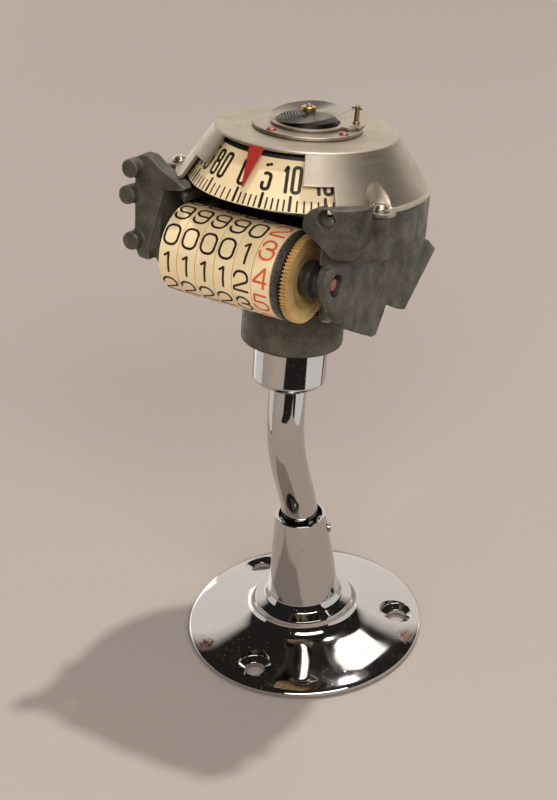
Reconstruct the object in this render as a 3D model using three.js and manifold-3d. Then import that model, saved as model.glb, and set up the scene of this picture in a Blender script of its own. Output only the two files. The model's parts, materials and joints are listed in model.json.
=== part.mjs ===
// Drum-dial speedometer movement with a six-wheel distance counter, on a chromed swan-neck stand.
// Millimetres, +Z up, origin at the centre of the stand's underside. The counter faces -Y.
//
// The stand is modelled straight in this frame. Everything above the coupling collar is modelled in
// the movement's own frame: Z along the dial spindle, its origin where the movement's boss sits on the
// collar. That frame leans back over the stand, as the stalk's upper end does.
import * as THREE from 'three';
import { mergeVertices } from 'three/addons/utils/BufferGeometryUtils.js';
import Module from 'manifold-3d';

const wasm = await Module();
wasm.setup();

// ---------------------------------------------------------------- driving dimensions
const FINE = 36; // facets round a large turned part
const COARSE = 16; // facets round a small turned part
const SMALL = 10; // facets round a pin or a screw hole

// Stand
const FLANGE_R = 31.75; // 2 1/2 in disc
const SCREW_CIRCLE_R = 25.2;
const SCREW_ANGLES = [-90, 30, 150];
const SOCKET_TOP_Z = 37;
const SOCKET_BORE_R = 5.05;
const SOCKET_FLOOR_Z = 3.2;
const SET_SCREW = { angle: 32, z: 32, r: 1.3, from: 5.2, to: 7.9 };
const TUBE_R = 4.75; // 3/8 in tube
const TUBE_WALL = 1.1;

// Movement frame, in the stand's frame
const LEAN = THREE.MathUtils.degToRad(11.19);
const HEAD_Y = -1.19;
const HEAD_Z = 90.22;

// Movement, all in its own frame
const COLLAR = { r: 9.27, bottom: -10.76, lip: -7.6 };
const BOSS_R = 12.7; // 1 in boss
const BOSS_TOP = 11.5;
const SPIGOT = { r: 6.4, bottom: -7, bore: 3.2 };
const BUSH = { r: 4.6, from: 0.3, to: 11.2 };
const FLOOR = { bottom: 36.4, top: 38.3, r: 29.6 };
const BOWL = { inner: 28.6, outer: 30.6, bottom: 30, top: 41.4 };
const DRUM = { y: -18.65, z: 24.51, r: 10.82, left: -20.84, pitch: 5.16, width: 4.96 };
const SHAFT_R = 1.6; // counter shaft
const WHEEL_BORE_R = 1.85;
const WHEEL_NAMES = ['ten_thousands', 'thousands', 'hundreds', 'tens', 'units', 'tenths'];
const GEAR = { r: 10.7, teeth: 72, from: 12.6, to: 14.4, bore: 4 };
const CROSS = { y: -6.2, z: 14.9, r: 0.9 };
const PINION_AXIS = { y: -6.9, z: 32.8, r: 0.8 };
const SIDE_PLATE = { inner: 19.3, outer: 21.7 };
const LEFT_PLATE = { outer: -26.2, inner: -23.8 };
const FACE_Y = -26; // front face of both mounting lugs

// Dial and cover share one cone: its radius grows by CONE_SLOPE for each mm down.
const CONE_SLOPE = 0.655;
const COVER = {
  topR: 22.34, topZ: 53.84, sheet: 0.8, plate: 54.3, hole: 9.2, foot: 41.55, flangeR: 30.7,
};
const DIAL = { lowR: 27.97, lowZ: 41.35, topZ: 52.6, sheet: 0.55 };
const FOOT_SCREWS = [[27.5, -11.5], [-28.5, -10.6], [0, 30.2]];
const DISC = { r: 13.17, bottom: 54.45, top: 55.3, bossR: 7, bossTop: 56.8 };
const RIVET_ANGLES = [-106, -12, 130];
const RIVET_R = 11.6;

// ---------------------------------------------------------------- solids
// A closed three.js geometry as a solid that can be joined and cut.
function solid(geometry) {
  geometry.deleteAttribute('normal');
  geometry.deleteAttribute('uv');
  const merged = mergeVertices(geometry, 1e-4);
  const index = merged.index.array;
  const triVerts = [];
  for (let i = 0; i < index.length; i += 3) {
    const [a, b, c] = [index[i], index[i + 1], index[i + 2]];
    if (a !== b && b !== c && c !== a) triVerts.push(a, b, c);
  }
  const vertProperties = merged.attributes.position.array;
  const mesh = new wasm.Mesh({ numProp: 3, vertProperties, triVerts: new Uint32Array(triVerts) });
  return new wasm.Manifold(mesh);
}

// Joins a list of overlapping solids into one.
function join(...pieces) {
  return pieces.reduce((whole, piece) => whole.add(piece));
}

// Cuts every solid in a list out of a body.
function cut(body, ...tools) {
  return tools.reduce((left, tool) => left.subtract(tool), body);
}

// Turns a profile of [radius, z] points about Z. The profile runs up its outer side.
function turned(profile, facets = COARSE) {
  const closed = profile.map(([r, z]) => new THREE.Vector2(r, z));
  const [first, last] = [profile[0], profile[profile.length - 1]];
  if (first[0] > 0 || last[0] > 0) closed.push(closed[0].clone());
  return solid(new THREE.LatheGeometry(closed, facets).rotateX(Math.PI / 2));
}

// A round ring or washer about Z.
function ring(inner, outer, low, high, facets = COARSE) {
  return turned([[inner, low], [outer, low], [outer, high], [inner, high]], facets);
}

// A plain cylinder about Z at x, y.
function post(r, low, high, x = 0, y = 0, facets = COARSE) {
  const shape = new THREE.CylinderGeometry(r, r, high - low, facets).rotateX(Math.PI / 2);
  return solid(shape.translate(x, y, (low + high) / 2));
}

function block(x0, x1, y0, y1, z0, z1) {
  const shape = new THREE.BoxGeometry(x1 - x0, y1 - y0, z1 - z0);
  return solid(shape.translate((x0 + x1) / 2, (y0 + y1) / 2, (z0 + z1) / 2));
}

function outline(points) {
  return new THREE.Shape(points.map(([a, b]) => new THREE.Vector2(a, b)));
}

// A plate whose outline is drawn in Y and Z, from x0 to x1.
function plateX(shape, x0, x1) {
  const geometry = new THREE.ExtrudeGeometry(shape, { depth: x1 - x0, bevelEnabled: false });
  const axes = new THREE.Matrix4().makeBasis(
    new THREE.Vector3(0, 1, 0),
    new THREE.Vector3(0, 0, 1),
    new THREE.Vector3(1, 0, 0),
  );
  return solid(geometry.applyMatrix4(axes).translate(x0, 0, 0));
}

// A plate whose outline is drawn in X and Z, from y0 to y1.
function plateY(shape, y0, y1) {
  const geometry = new THREE.ExtrudeGeometry(shape, { depth: y1 - y0, bevelEnabled: false });
  return solid(geometry.rotateX(Math.PI / 2).translate(0, y1, 0));
}

// A cylinder along X, centred on y, z.
function rodX(r, x0, x1, y, z, facets = COARSE) {
  const shape = new THREE.CylinderGeometry(r, r, x1 - x0, facets).rotateZ(Math.PI / 2);
  return solid(shape.translate((x0 + x1) / 2, y, z));
}

// A cylinder along Y, centred on x, z.
function rodY(r, y0, y1, x, z, facets = COARSE) {
  return solid(new THREE.CylinderGeometry(r, r, y1 - y0, facets).translate(x, (y0 + y1) / 2, z));
}

// A gear's outline: each tooth is a plain vee between the root and the tip radius.
function gearShape(teeth, tipR, depth) {
  const pitch = (2 * Math.PI) / teeth;
  const corners = [[-0.5, -depth], [0, 0]];
  const shape = new THREE.Shape();
  for (let i = 0; i < teeth; i++) {
    for (const [along, radial] of corners) {
      const angle = (i + along) * pitch;
      const r = tipR + radial;
      if (i === 0 && along === corners[0][0]) shape.moveTo(r * Math.cos(angle), r * Math.sin(angle));
      else shape.lineTo(r * Math.cos(angle), r * Math.sin(angle));
    }
  }
  return shape;
}

// A gear that turns about an axis along X.
function gearX(teeth, tipR, depth, boreR, x0, x1) {
  return cut(plateX(gearShape(teeth, tipR, depth), x0, x1), rodX(boreR, x0 - 1, x1 + 1, 0, 0));
}

// Turned about an axis along X: the profile is [radius, x] and runs along its bore first.
function turnedX(profile, facets = COARSE) {
  const closed = profile.map(([r, x]) => new THREE.Vector2(r, x)).reverse();
  closed.push(closed[0].clone());
  return solid(new THREE.LatheGeometry(closed, facets).rotateZ(-Math.PI / 2));
}

// ---------------------------------------------------------------- scene graph
const FINISHES = {
  chrome: { color: 0xdcdcdc, roughness: 0.08, metalness: 1 },
  die_cast: { color: 0x4a4946, roughness: 0.62, metalness: 0.6 },
  nickel: { color: 0xb3a894, roughness: 0.36, metalness: 1 },
  cream: { color: 0xf0dcb0, roughness: 0.5, metalness: 0 },
  red: { color: 0xbf1f1a, roughness: 0.4, metalness: 0 },
  brass: { color: 0xc79a45, roughness: 0.3, metalness: 1 },
  bronze: { color: 0x8a5a32, roughness: 0.45, metalness: 1 },
  copper: { color: 0xa8553a, roughness: 0.4, metalness: 1 },
  steel: { color: 0x8c8a86, roughness: 0.35, metalness: 1 },
  blued: { color: 0x33332f, roughness: 0.35, metalness: 1 },
  black: { color: 0x1b1917, roughness: 0.55, metalness: 0 },
  aluminium: { color: 0xc9c9c6, roughness: 0.35, metalness: 1 },
};

const root = new THREE.Group();
const head = new THREE.Group();
head.position.set(0, HEAD_Y, HEAD_Z);
head.rotation.x = -LEAN;
root.add(head);

// The counter's parts turn about the drum axis, so they are modelled on it and placed there.
const drum = new THREE.Group();
drum.position.set(0, DRUM.y, DRUM.z);
head.add(drum);

const crossDrive = new THREE.Group();
crossDrive.position.set(0, CROSS.y, CROSS.z);
head.add(crossDrive);

const pinionAxis = new THREE.Group();
pinionAxis.position.set(0, PINION_AXIS.y, PINION_AXIS.z);
head.add(pinionAxis);

function add(group, name, manifold, finish, [x, y] = [0, 0]) {
  const { vertProperties, triVerts } = manifold.getMesh();
  const geometry = new THREE.BufferGeometry();
  geometry.setAttribute('position', new THREE.BufferAttribute(vertProperties, 3));
  geometry.setIndex(new THREE.BufferAttribute(triVerts, 1));
  geometry.computeVertexNormals();
  const mesh = new THREE.Mesh(geometry, new THREE.MeshStandardMaterial(FINISHES[finish]));
  mesh.name = name;
  mesh.position.set(x, y, 0);
  group.add(mesh);
}

const onCircle = (r, degrees) => {
  const angle = THREE.MathUtils.degToRad(degrees);
  return [r * Math.cos(angle), r * Math.sin(angle)];
};

// ---------------------------------------------------------------- stand
// Domed flange and tapered socket, one casting: hollow under the dome, with a boss at each screw hole
// and a solid hub whose foot is flush with the rim.
function flangeBase() {
  const outside = turned([
    [0, 0], [31.3, 0], [FLANGE_R, 0.5], [FLANGE_R, 1.2], [31.2, 1.9], [28, 2.95], [25.2, 3.7],
    [20, 5.1], [16.2, 6.2], [14.4, 7.1], [13.3, 8.6], [12.9, 10.3], [12.4, 10.7], [10.6, 11.1],
    [9.7, 11.9], [9.35, 13.2], [6.65, SOCKET_TOP_Z - 0.4], [6.4, SOCKET_TOP_Z], [6.1, SOCKET_TOP_Z],
    [5.85, SOCKET_TOP_Z - 0.4], [5.75, 34.6], [SOCKET_BORE_R, 34.2], [SOCKET_BORE_R, SOCKET_FLOOR_Z],
    [0, SOCKET_FLOOR_Z],
  ], FINE);
  const bosses = SCREW_ANGLES.map((angle) => post(4.7, -2, 8, ...onCircle(SCREW_CIRCLE_R, angle)));
  const hollow = cut(
    turned([[13, -1], [28.6, -1], [28.6, 0.9], [25.2, 1.8], [16, 4.2], [13, 4.2]], FINE),
    ...bosses,
  );
  const holes = SCREW_ANGLES.map((angle) => {
    const [x, y] = onCircle(SCREW_CIRCLE_R, angle);
    return join(post(2.6, -1, 8, x, y, SMALL), post(4.5, 2.1, 8, x, y));
  });
  const tapped = new THREE.CylinderGeometry(1.55, 1.55, 8, SMALL).rotateZ(-Math.PI / 2);
  tapped.translate(9, 0, 0).rotateZ(THREE.MathUtils.degToRad(SET_SCREW.angle)).translate(0, 0, SET_SCREW.z);
  return cut(outside, hollow, ...holes, solid(tapped));
}

function setScrew() {
  const { angle, z, r, from, to } = SET_SCREW;
  const shank = new THREE.CylinderGeometry(r, r, to - from, SMALL).rotateZ(-Math.PI / 2);
  const slot = new THREE.BoxGeometry(1, 0.4, 4).translate(to, 0, 0);
  const place = (geometry) => {
    geometry.rotateZ(THREE.MathUtils.degToRad(angle)).translate(0, 0, z);
    return solid(geometry);
  };
  return cut(place(shank.translate((from + to) / 2, 0, 0)), place(slot));
}

// The stalk stands upright in the socket, leans forward, then back into line with the movement.
function stalkTube() {
  const headAxis = (t) => new THREE.Vector3(0, HEAD_Y + t * Math.sin(LEAN), HEAD_Z + t * Math.cos(LEAN));
  const forward = THREE.MathUtils.degToRad(15.4);
  const lowBend = new THREE.Vector3(0, 0, 38.5);
  const highBend = headAxis(-28.1);
  const leg = (from, length) => new THREE.Vector3(
    0, from.y - length * Math.sin(forward), from.z + length * Math.cos(forward),
  );
  const lowStart = new THREE.Vector3(0, 0, 32);
  const lowEnd = leg(lowBend, 6.5);
  const highStart = leg(highBend, -10);
  const highEnd = headAxis(-18.1);
  const path = new THREE.CurvePath();
  path.add(new THREE.LineCurve3(new THREE.Vector3(0, 0, SOCKET_FLOOR_Z + 0.8), lowStart));
  path.add(new THREE.QuadraticBezierCurve3(lowStart, lowBend, lowEnd));
  path.add(new THREE.LineCurve3(lowEnd, highStart));
  path.add(new THREE.QuadraticBezierCurve3(highStart, highBend, highEnd));
  path.add(new THREE.LineCurve3(highEnd, headAxis(COLLAR.lip - 0.2)));
  const section = new THREE.Shape().absarc(0, 0, TUBE_R, 0, 2 * Math.PI);
  section.holes.push(new THREE.Path().absarc(0, 0, TUBE_R - TUBE_WALL, 0, 2 * Math.PI));
  return solid(new THREE.ExtrudeGeometry(section, { steps: 20, extrudePath: path, curveSegments: 8 }));
}

// ---------------------------------------------------------------- frame casting
// Outline of the right side plate in Y and Z: shaft end in front, stepped foot, tail behind.
const SIDE_OUTLINE = [
  [-20.4, 30.8], [-23.3, 29.1], [-24.2, 26.2], [-23.2, 22.8], [-19.8, 18.4], [-16.6, 15.1],
  [-13.3, 12.4], [1.2, 6.2], [3.3, 6.1], [7.5, 13], [14.9, 9.6], [17.6, 8.8], [31.6, 21.4],
  [27.2, 24.7], [22, 27], [18, 33], [8, 37], [-4, 37], [-12, 36], [-14, 31.6],
];
// Outline of the left side plate: the same plate without the tail, carried up to the left lug.
const LEFT_OUTLINE = [
  [-25, 38], [-25, 24], [-22, 20], [-16.6, 15.1], [-13.3, 12.4], [1.2, 6.2], [3.3, 6.1],
  [7.5, 13], [17, 20], [18, 30], [8, 37],
];
// Front faces of the mounting lugs in X and Z.
const RIGHT_LUG = [
  [15.4, 39.6], [15.7, 41.6], [17.2, 43.4], [19.4, 44.3], [22.5, 44.7], [26.6, 44.6], [28.9, 45.2],
  [28.4, 41], [27.7, 36], [26.9, 32.6], [24.4, 32.8], [21.3, 34.9], [17.8, 37.1], [15.9, 38.3],
];
const LEFT_LUG = [
  [-31.4, 45.6], [-29.4, 47], [-26.9, 46.8], [-23.5, 44.4], [-16.5, 41.2], [-17.5, 40.4],
  [-22.8, 39.4], [-24.2, 33], [-26.4, 24.4], [-26, 21.4], [-29.2, 21.6], [-30.4, 24],
];
const LEFT_STUDS = [[-31, 43.6], [-31.6, 37], [-29.9, 26]];

// Zinc die casting: boss and spigot below, gear ears and pillar behind the drum, floor and bowl on top,
// a side plate at each end of the drum and a mounting lug at each front corner.
function frameCasting() {
  const boss = turned([
    [0, SPIGOT.bottom], [SPIGOT.r, SPIGOT.bottom], [SPIGOT.r, 0], [11.9, 0], [BOSS_R, 0.8],
    [BOSS_R, BOSS_TOP], [0, BOSS_TOP],
  ], FINE);
  const pillar = block(-9.5, 9.5, 5.6, 11.8, 10, FLOOR.top);
  const crossEar = block(-8.4, -5.2, -8.4, 6, 10.5, 17.6);
  const crossBoss = rodX(2.6, 16, SIDE_PLATE.inner + 1, CROSS.y, CROSS.z);
  const pinionEar = block(11.2, 12.6, -8.6, -5.2, 30.8, FLOOR.top);
  const web = block(8, SIDE_PLATE.inner + 1, 6.5, 9.5, 14, FLOOR.top);
  const leftWeb = block(LEFT_PLATE.inner - 1, -8, 6.5, 9.5, 14, FLOOR.top);
  const floor = post(FLOOR.r, FLOOR.bottom, FLOOR.top, 0, 0, FINE);
  const floorFront = block(-19, 17, -40, -13, 30, 40);
  const bowlFront = block(-24.5, 19, -40, -13, 20, 50);
  const bowl = cut(ring(BOWL.inner, BOWL.outer, BOWL.bottom, BOWL.top, FINE), bowlFront);
  const pads = FOOT_SCREWS.map(([x, y]) => {
    return turned([[0, 32], [0.7, 32], [2.4, 37.4], [2.4, BOWL.top], [0, BOWL.top]]).translate([x, y, 0]);
  });
  const rightPlate = plateX(outline(SIDE_OUTLINE), SIDE_PLATE.inner, SIDE_PLATE.outer);
  const rightShoulder = block(SIDE_PLATE.inner, 27, -21, 6, 33, FLOOR.top);
  const leftPlate = plateX(outline(LEFT_OUTLINE), LEFT_PLATE.outer, LEFT_PLATE.inner);
  const leftShoulder = block(-28, LEFT_PLATE.inner, -24, 6, 33, FLOOR.top);
  const lugSlant = new THREE.Shape([
    new THREE.Vector2(23.2, FACE_Y - 1), new THREE.Vector2(36, FACE_Y - 1), new THREE.Vector2(36, -13.3),
    new THREE.Vector2(23.2, FACE_Y),
  ]);
  const slantCut = new THREE.ExtrudeGeometry(lugSlant, { depth: 30, bevelEnabled: false }).translate(0, 0, 25);
  const rightLug = cut(plateY(outline(RIGHT_LUG), FACE_Y, -17), solid(slantCut));
  const leftLug = plateY(outline(LEFT_LUG), FACE_Y, -22);
  const leftHeel = block(-30.5, -26.5, -22.5, -12, 38, 41.4);
  const studs = LEFT_STUDS.map(([x, z]) => rodY(2.3, FACE_Y - 2.6, FACE_Y + 2, x, z, 14));
  const whole = join(
    boss, pillar, crossEar, web, leftWeb, pinionEar, cut(floor, floorFront), rightPlate, crossBoss,
    leftPlate, bowl, ...pads, rightShoulder, leftShoulder, rightLug, leftLug, leftHeel, ...studs,
  );
  const dialRoom = post(BOWL.inner, FLOOR.top, 60, 0, 0, FINE);
  const coverRoom = cut(
    post(COVER.flangeR + 0.5, BOWL.top + 0.05, 60, 0, 0, FINE),
    block(-19.3, 19.3, -40, 0, 40, 61),
  );
  const earRooms = FOOT_SCREWS.map(([x, y]) => post(3.9, BOWL.top + 0.05, 60, x, y));
  const drumRoom = rodX(DRUM.r + 0.7, LEFT_PLATE.inner, SIDE_PLATE.inner, DRUM.y, DRUM.z, FINE);
  const driveBore = join(post(SPIGOT.bore, -8, 12), post(BUSH.r + 0.1, 0.2, 14), post(2.4, 30, 40));
  const counterHoles = join(
    rodX(2.75, 0, 30, DRUM.y, DRUM.z),
    rodX(SHAFT_R + 0.15, -30, 0.5, DRUM.y, DRUM.z),
  );
  const lugHole = rodY(2.2, -30, -20.5, 21.5, 42.1, 16);
  const screwHoles = FOOT_SCREWS.map(([x, y]) => post(1.15, 35.7, 45, x, y, SMALL));
  return cut(
    whole, dialRoom, coverRoom, ...earRooms, drumRoom, driveBore, counterHoles, lugHole, ...screwHoles,
    rodX(CROSS.r + 0.25, -12, 18.9, CROSS.y, CROSS.z, SMALL),
    rodX(PINION_AXIS.r + 0.15, LEFT_PLATE.inner - 0.9, 14, PINION_AXIS.y, PINION_AXIS.z, SMALL),
    rodX(5.2, 12.4, 14.9, CROSS.y, CROSS.z),
  );
}

// ---------------------------------------------------------------- drive
// The shaft's lower end takes the square tip of a flexible drive.
function driveShaft() {
  const shaft = turned([
    [0, -6.6], [2.75, -6.6], [2.75, 0], [2, 0.15], [2, 46.6], [0, 46.6],
  ]);
  return cut(shaft, block(-1.35, 1.35, -1.35, 1.35, -7, -0.5));
}

function worm() {
  const [low, high, pitch] = [12.2, 18.2, 1.2];
  const profile = [[2.1, low], [2.9, low]];
  for (let z = low + pitch; z < high - 0.1; z += pitch) {
    profile.push([2.9, z - 0.75], [2.5, z - 0.45], [2.9, z - 0.15]);
  }
  return turned([...profile, [2.9, high], [2.1, high]]);
}

// ---------------------------------------------------------------- counter
function numberWheel(index) {
  const x = DRUM.left + index * DRUM.pitch;
  const end = x + DRUM.width;
  return turnedX([
    [WHEEL_BORE_R, x], [WHEEL_BORE_R, end], [3.5, end], [3.5, end - 1.6], [9.6, end - 1.6],
    [9.6, end], [DRUM.r, end], [DRUM.r, x],
  ], 24);
}

function endRing() {
  return turnedX([
    [WHEEL_BORE_R, 10.2], [WHEEL_BORE_R, 11.5], [6.3, 11.5], [6.3, 11.1], [9.9, 11.1], [9.9, 12.2],
    [10.7, 12.2], [10.7, 10.2],
  ], 24);
}

// Dished spur gear: the toothed rim stands proud of a thinner web.
function driveGear() {
  const dish = turnedX([[GEAR.bore + 0.6, 13.4], [GEAR.bore + 0.6, 15.4], [8.8, 15.4], [7.8, 13.4]], 24);
  return cut(gearX(GEAR.teeth, GEAR.r, 0.62, GEAR.bore, GEAR.from, GEAR.to), dish);
}

function hubBush() {
  return turnedX([
    [WHEEL_BORE_R, 11.8], [WHEEL_BORE_R, 18.7], [3.1, 18.7], [3.1, 16.9], [4.7, 16.5], [4.7, 14.8],
    [3.8, 14.8], [3.8, 11.8],
  ], 16);
}

// ---------------------------------------------------------------- dial and speed cup
const dialR = (z) => DIAL.lowR - (z - DIAL.lowZ) * CONE_SLOPE;

function dialDrum() {
  const inset = DIAL.sheet * 1.2;
  return turned([
    [DIAL.lowR - inset, DIAL.lowZ], [DIAL.lowR, DIAL.lowZ], [dialR(DIAL.topZ), DIAL.topZ],
    [19, DIAL.topZ], [19, DIAL.topZ - DIAL.sheet], [dialR(DIAL.topZ) - inset, DIAL.topZ - DIAL.sheet],
  ], FINE);
}

// Three-armed disc that carries the dial on its spindle.
function dialSpider() {
  const windows = [90, 210, 330].map((angle) => post(4.2, 50, 54, ...onCircle(11.5, angle)));
  return cut(turned([[0.95, 50.4], [2.8, 50.4], [2.8, 51.2], [20.1, 51.2], [20.1, 51.8], [0.95, 51.8]], FINE),
    ...windows);
}

function speedCup() {
  return turned([
    [17.2, 39.9], [17.8, 39.9], [17.8, 49.7], [0.95, 49.7], [0.95, 49.1], [17.2, 49.1],
  ], 32);
}

function fieldCup() {
  return turned([
    [4, 38.5], [19.8, 38.5], [19.8, 48.2], [18.6, 48.2], [18.6, 39.5], [4, 39.5],
  ], 32);
}

// A disc magnet with two flats.
function magnet() {
  const disc = ring(2.15, 15.8, 40.4, 46.2, 32);
  return cut(disc, block(-20, 20, 12.4, 20, 38, 50), block(-20, 20, -20, -12.4, 38, 50));
}

// ---------------------------------------------------------------- cover
const coverR = (z) => COVER.topR + (COVER.topZ - z) * CONE_SLOPE;

// The window in X and Z: narrow over the numerals, wider over the graduations.
const WINDOW = [
  [-10.8, 53.7], [-13.3, 47.6], [-18.7, 47.6], [-21, 40], [21, 40], [18.9, 47.6], [13.3, 47.6], [10.8, 53.7],
];

// Pressed cover: a cone with a rounded top edge and a turned-out foot, a stepped window in front, and a
// dimple and an ear at each foot screw.
function topCover() {
  const wall = COVER.sheet * 1.2;
  const shellTop = COVER.plate - COVER.sheet;
  const foot = COVER.foot;
  const cone = turned([
    [coverR(42.6) - wall, 42.1], [29.4, foot], [COVER.flangeR, foot], [COVER.flangeR, foot + COVER.sheet],
    [coverR(42.6) + 0.3, foot + COVER.sheet], [coverR(42.9), 42.9], [22.45, 53.65],
    [22.05, 54.1], [21.3, COVER.plate], [COVER.hole, COVER.plate], [COVER.hole, shellTop], [21.2, shellTop],
  ], FINE);
  const inside = turned([[0, foot], [coverR(foot) - 0.1, foot], [22.1, 53.6], [0, 53.6]], FINE);
  const dialSpace = post(28.9, foot - 1, foot + 2, 0, 0, FINE);
  const ears = FOOT_SCREWS.map(([x, y]) => post(3.5, foot, foot + COVER.sheet, x, y).subtract(dialSpace));
  const dialRoom = turned([
    [0, foot - 1], [dialR(foot - 1) + 0.4, foot - 1], [dialR(46) + 0.4, 46], [0, 46],
  ], FINE);
  const dimples = FOOT_SCREWS.map(([x, y]) => {
    return post(2.75, foot, 46, x, y).intersect(inside).subtract(dialRoom);
  });
  const heads = FOOT_SCREWS.map(([x, y]) => post(2.25, foot + COVER.sheet, 50, x, y));
  const shanks = FOOT_SCREWS.map(([x, y]) => post(1.25, 40, 50, x, y, SMALL));
  const window = plateY(outline(WINDOW), -40, -10);
  const rivetHoles = RIVET_ANGLES.map((angle) => post(0.8, 50, 56, ...onCircle(RIVET_R, angle), SMALL));
  return cut(join(cone, ...dimples, ...ears), ...heads, ...shanks, window, ...rivetHoles);
}

// A flat triangle that bridges the window in the plane of the cover's cone.
function pointer() {
  const topZ = 53.5;
  const tipZ = 45.6;
  const sheet = 0.45;
  const face = new THREE.Shape([
    new THREE.Vector2(-1.9, 0), new THREE.Vector2(0, -Math.hypot(topZ - tipZ, coverR(tipZ) - coverR(topZ))),
    new THREE.Vector2(1.9, 0),
  ]);
  const plate = new THREE.ExtrudeGeometry(face, { depth: sheet, bevelEnabled: false });
  plate.rotateX(Math.PI / 2 - Math.atan(CONE_SLOPE));
  return solid(plate.translate(0, -coverR(topZ) + sheet, topZ));
}

function footScrew() {
  const seat = COVER.foot + COVER.sheet + 0.1;
  const screw = turned([
    [0, 36], [0.95, 36], [0.95, seat], [2, seat], [2, seat + 0.7], [1.5, seat + 1.35], [0, seat + 1.55],
  ], 16);
  return cut(screw, block(-3, 3, -0.25, 0.25, seat + 0.8, seat + 3));
}

function bearingDisc() {
  const disc = turned([
    [1.1, DISC.bottom], [DISC.r, DISC.bottom], [DISC.r, DISC.top], [DISC.bossR + 0.5, DISC.top],
    [DISC.bossR, DISC.bossTop], [1.1, DISC.bossTop],
  ], FINE);
  return cut(disc, ...RIVET_ANGLES.map((angle) => post(0.8, 50, 60, ...onCircle(RIVET_R, angle), SMALL)));
}

function rivet(angle) {
  const [x, y] = onCircle(RIVET_R, angle);
  return join(
    post(0.65, 53, DISC.top + 0.2, x, y, SMALL),
    post(1.15, DISC.top + 0.1, DISC.top + 0.5, x, y, SMALL),
    post(1.1, 52.9, COVER.plate - COVER.sheet - 0.1, x, y, SMALL),
  );
}

// ---------------------------------------------------------------- hairspring and regulator
const POST = { x: 9.6, y: 6.4, r: 0.7, top: 60.2 };

// Flat spiral, dished a little and tilted up towards the regulator post, with a straight tail to it.
function hairspring() {
  const turns = 7;
  const perTurn = 12;
  const [innerR, outerR] = [2.3, 8];
  const tiltTo = THREE.MathUtils.degToRad(50);
  const points = [];
  for (let i = 0; i <= turns * perTurn; i++) {
    const angle = (i / perTurn) * 2 * Math.PI - 0.4;
    const r = innerR + ((outerR - innerR) * i) / (turns * perTurn);
    const lift = 58.3 + 0.14 * r * Math.cos(angle - tiltTo);
    points.push(new THREE.Vector3(r * Math.cos(angle), r * Math.sin(angle), lift));
  }
  points.push(new THREE.Vector3(POST.x - 1.1, POST.y - 3.4, 59.6));
  points.push(new THREE.Vector3(POST.x - 0.6, POST.y - 1, 59.6));
  const path = new THREE.CatmullRomCurve3(points, false, 'centripetal');
  const strip = outline([[-0.2, -0.11], [0.2, -0.11], [0.2, 0.11], [-0.2, 0.11]]);
  return solid(new THREE.ExtrudeGeometry(strip, { steps: points.length + 8, extrudePath: path }));
}

// Sheet ring that turns on the disc's boss, with a slotted tab for the spring post.
function regulatorArm() {
  const [low, high] = [DISC.top + 0.15, DISC.top + 0.7];
  const band = ring(DISC.bossR + 0.75, 8.9, low, high, 32);
  const tab = new THREE.Shape([
    new THREE.Vector2(7.6, 1.2), new THREE.Vector2(10.6, 1), new THREE.Vector2(12.4, 3),
    new THREE.Vector2(11.9, 6.8), new THREE.Vector2(9.6, 8.2), new THREE.Vector2(6, 6.4),
  ]);
  const plate = new THREE.ExtrudeGeometry(tab, { depth: high - low, bevelEnabled: false }).translate(0, 0, low);
  const body = cut(solid(plate), post(DISC.bossR + 0.75, 50, 60, 0, 0, 32));
  const slots = join(block(9.9, 13, 2.6, 3.1, 50, 60), block(10.6, 13, 4.5, 5, 50, 60));
  return cut(join(band, body), slots, post(POST.r + 0.05, 50, 60, POST.x, POST.y, SMALL));
}

function regulatorPost() {
  return cut(
    post(POST.r, DISC.top + 0.2, POST.top, POST.x, POST.y, SMALL),
    block(POST.x - 2, POST.x + 2, POST.y - 0.3, POST.y + 0.3, 59.2, 61),
  );
}

// Taper pin that wedges the spring's tail in the slotted post.
function taperPin() {
  return block(POST.x - 1.5, POST.x + 1.3, POST.y - 0.2, POST.y + 0.2, 59.4, 59.8);
}

// ---------------------------------------------------------------- assembly
add(root, 'flange_base', flangeBase(), 'chrome');
add(root, 'set_screw', setScrew(), 'steel');
add(root, 'stalk_tube', stalkTube(), 'chrome');

add(head, 'stalk_ferrule', ring(TUBE_R + 0.1, 5.5, COLLAR.bottom - 1.5, COLLAR.bottom - 0.15), 'bronze');
add(head, 'coupling_collar', turned([
  [TUBE_R + 0.25, COLLAR.bottom], [8.6, COLLAR.bottom], [COLLAR.r, COLLAR.bottom + 0.9], [COLLAR.r, -0.9],
  [8.8, -0.15], [SPIGOT.r + 0.25, -0.15], [SPIGOT.r + 0.25, COLLAR.lip], [TUBE_R + 0.25, COLLAR.lip],
], 32), 'chrome');
add(head, 'frame_casting', frameCasting(), 'die_cast');
add(head, 'drive_bush', ring(2.1, BUSH.r, BUSH.from, BUSH.to), 'bronze');
add(head, 'drive_shaft', driveShaft(), 'steel');
add(head, 'worm', worm(), 'steel');
add(head, 'magnet', magnet(), 'steel');
add(head, 'field_cup', fieldCup(), 'steel');

add(crossDrive, 'cross_shaft', rodX(CROSS.r, -8.2, 18.6, 0, 0, SMALL), 'steel');
add(crossDrive, 'worm_wheel', gearX(20, 3, 0.4, CROSS.r + 0.08, -1.6, 1.6), 'bronze');
add(crossDrive, 'drive_pinion', gearX(32, 4.75, 0.6, CROSS.r + 0.08, 12.8, 14.2), 'steel');

WHEEL_NAMES.forEach((name, index) => add(drum, `wheel_${name}`, numberWheel(index), 'cream'));
add(drum, 'drum_end_ring', endRing(), 'black');
add(drum, 'drive_gear', driveGear(), 'brass');
add(drum, 'gear_hub', hubBush(), 'black');
add(drum, 'counter_shaft', rodX(SHAFT_R, -27.6, 20.9, 0, 0, 16), 'copper');
add(drum, 'shaft_clip', turnedX([[1.7, -27.2], [1.7, -26.5], [3, -26.5], [3, -27.2]], 16), 'brass');

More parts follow.
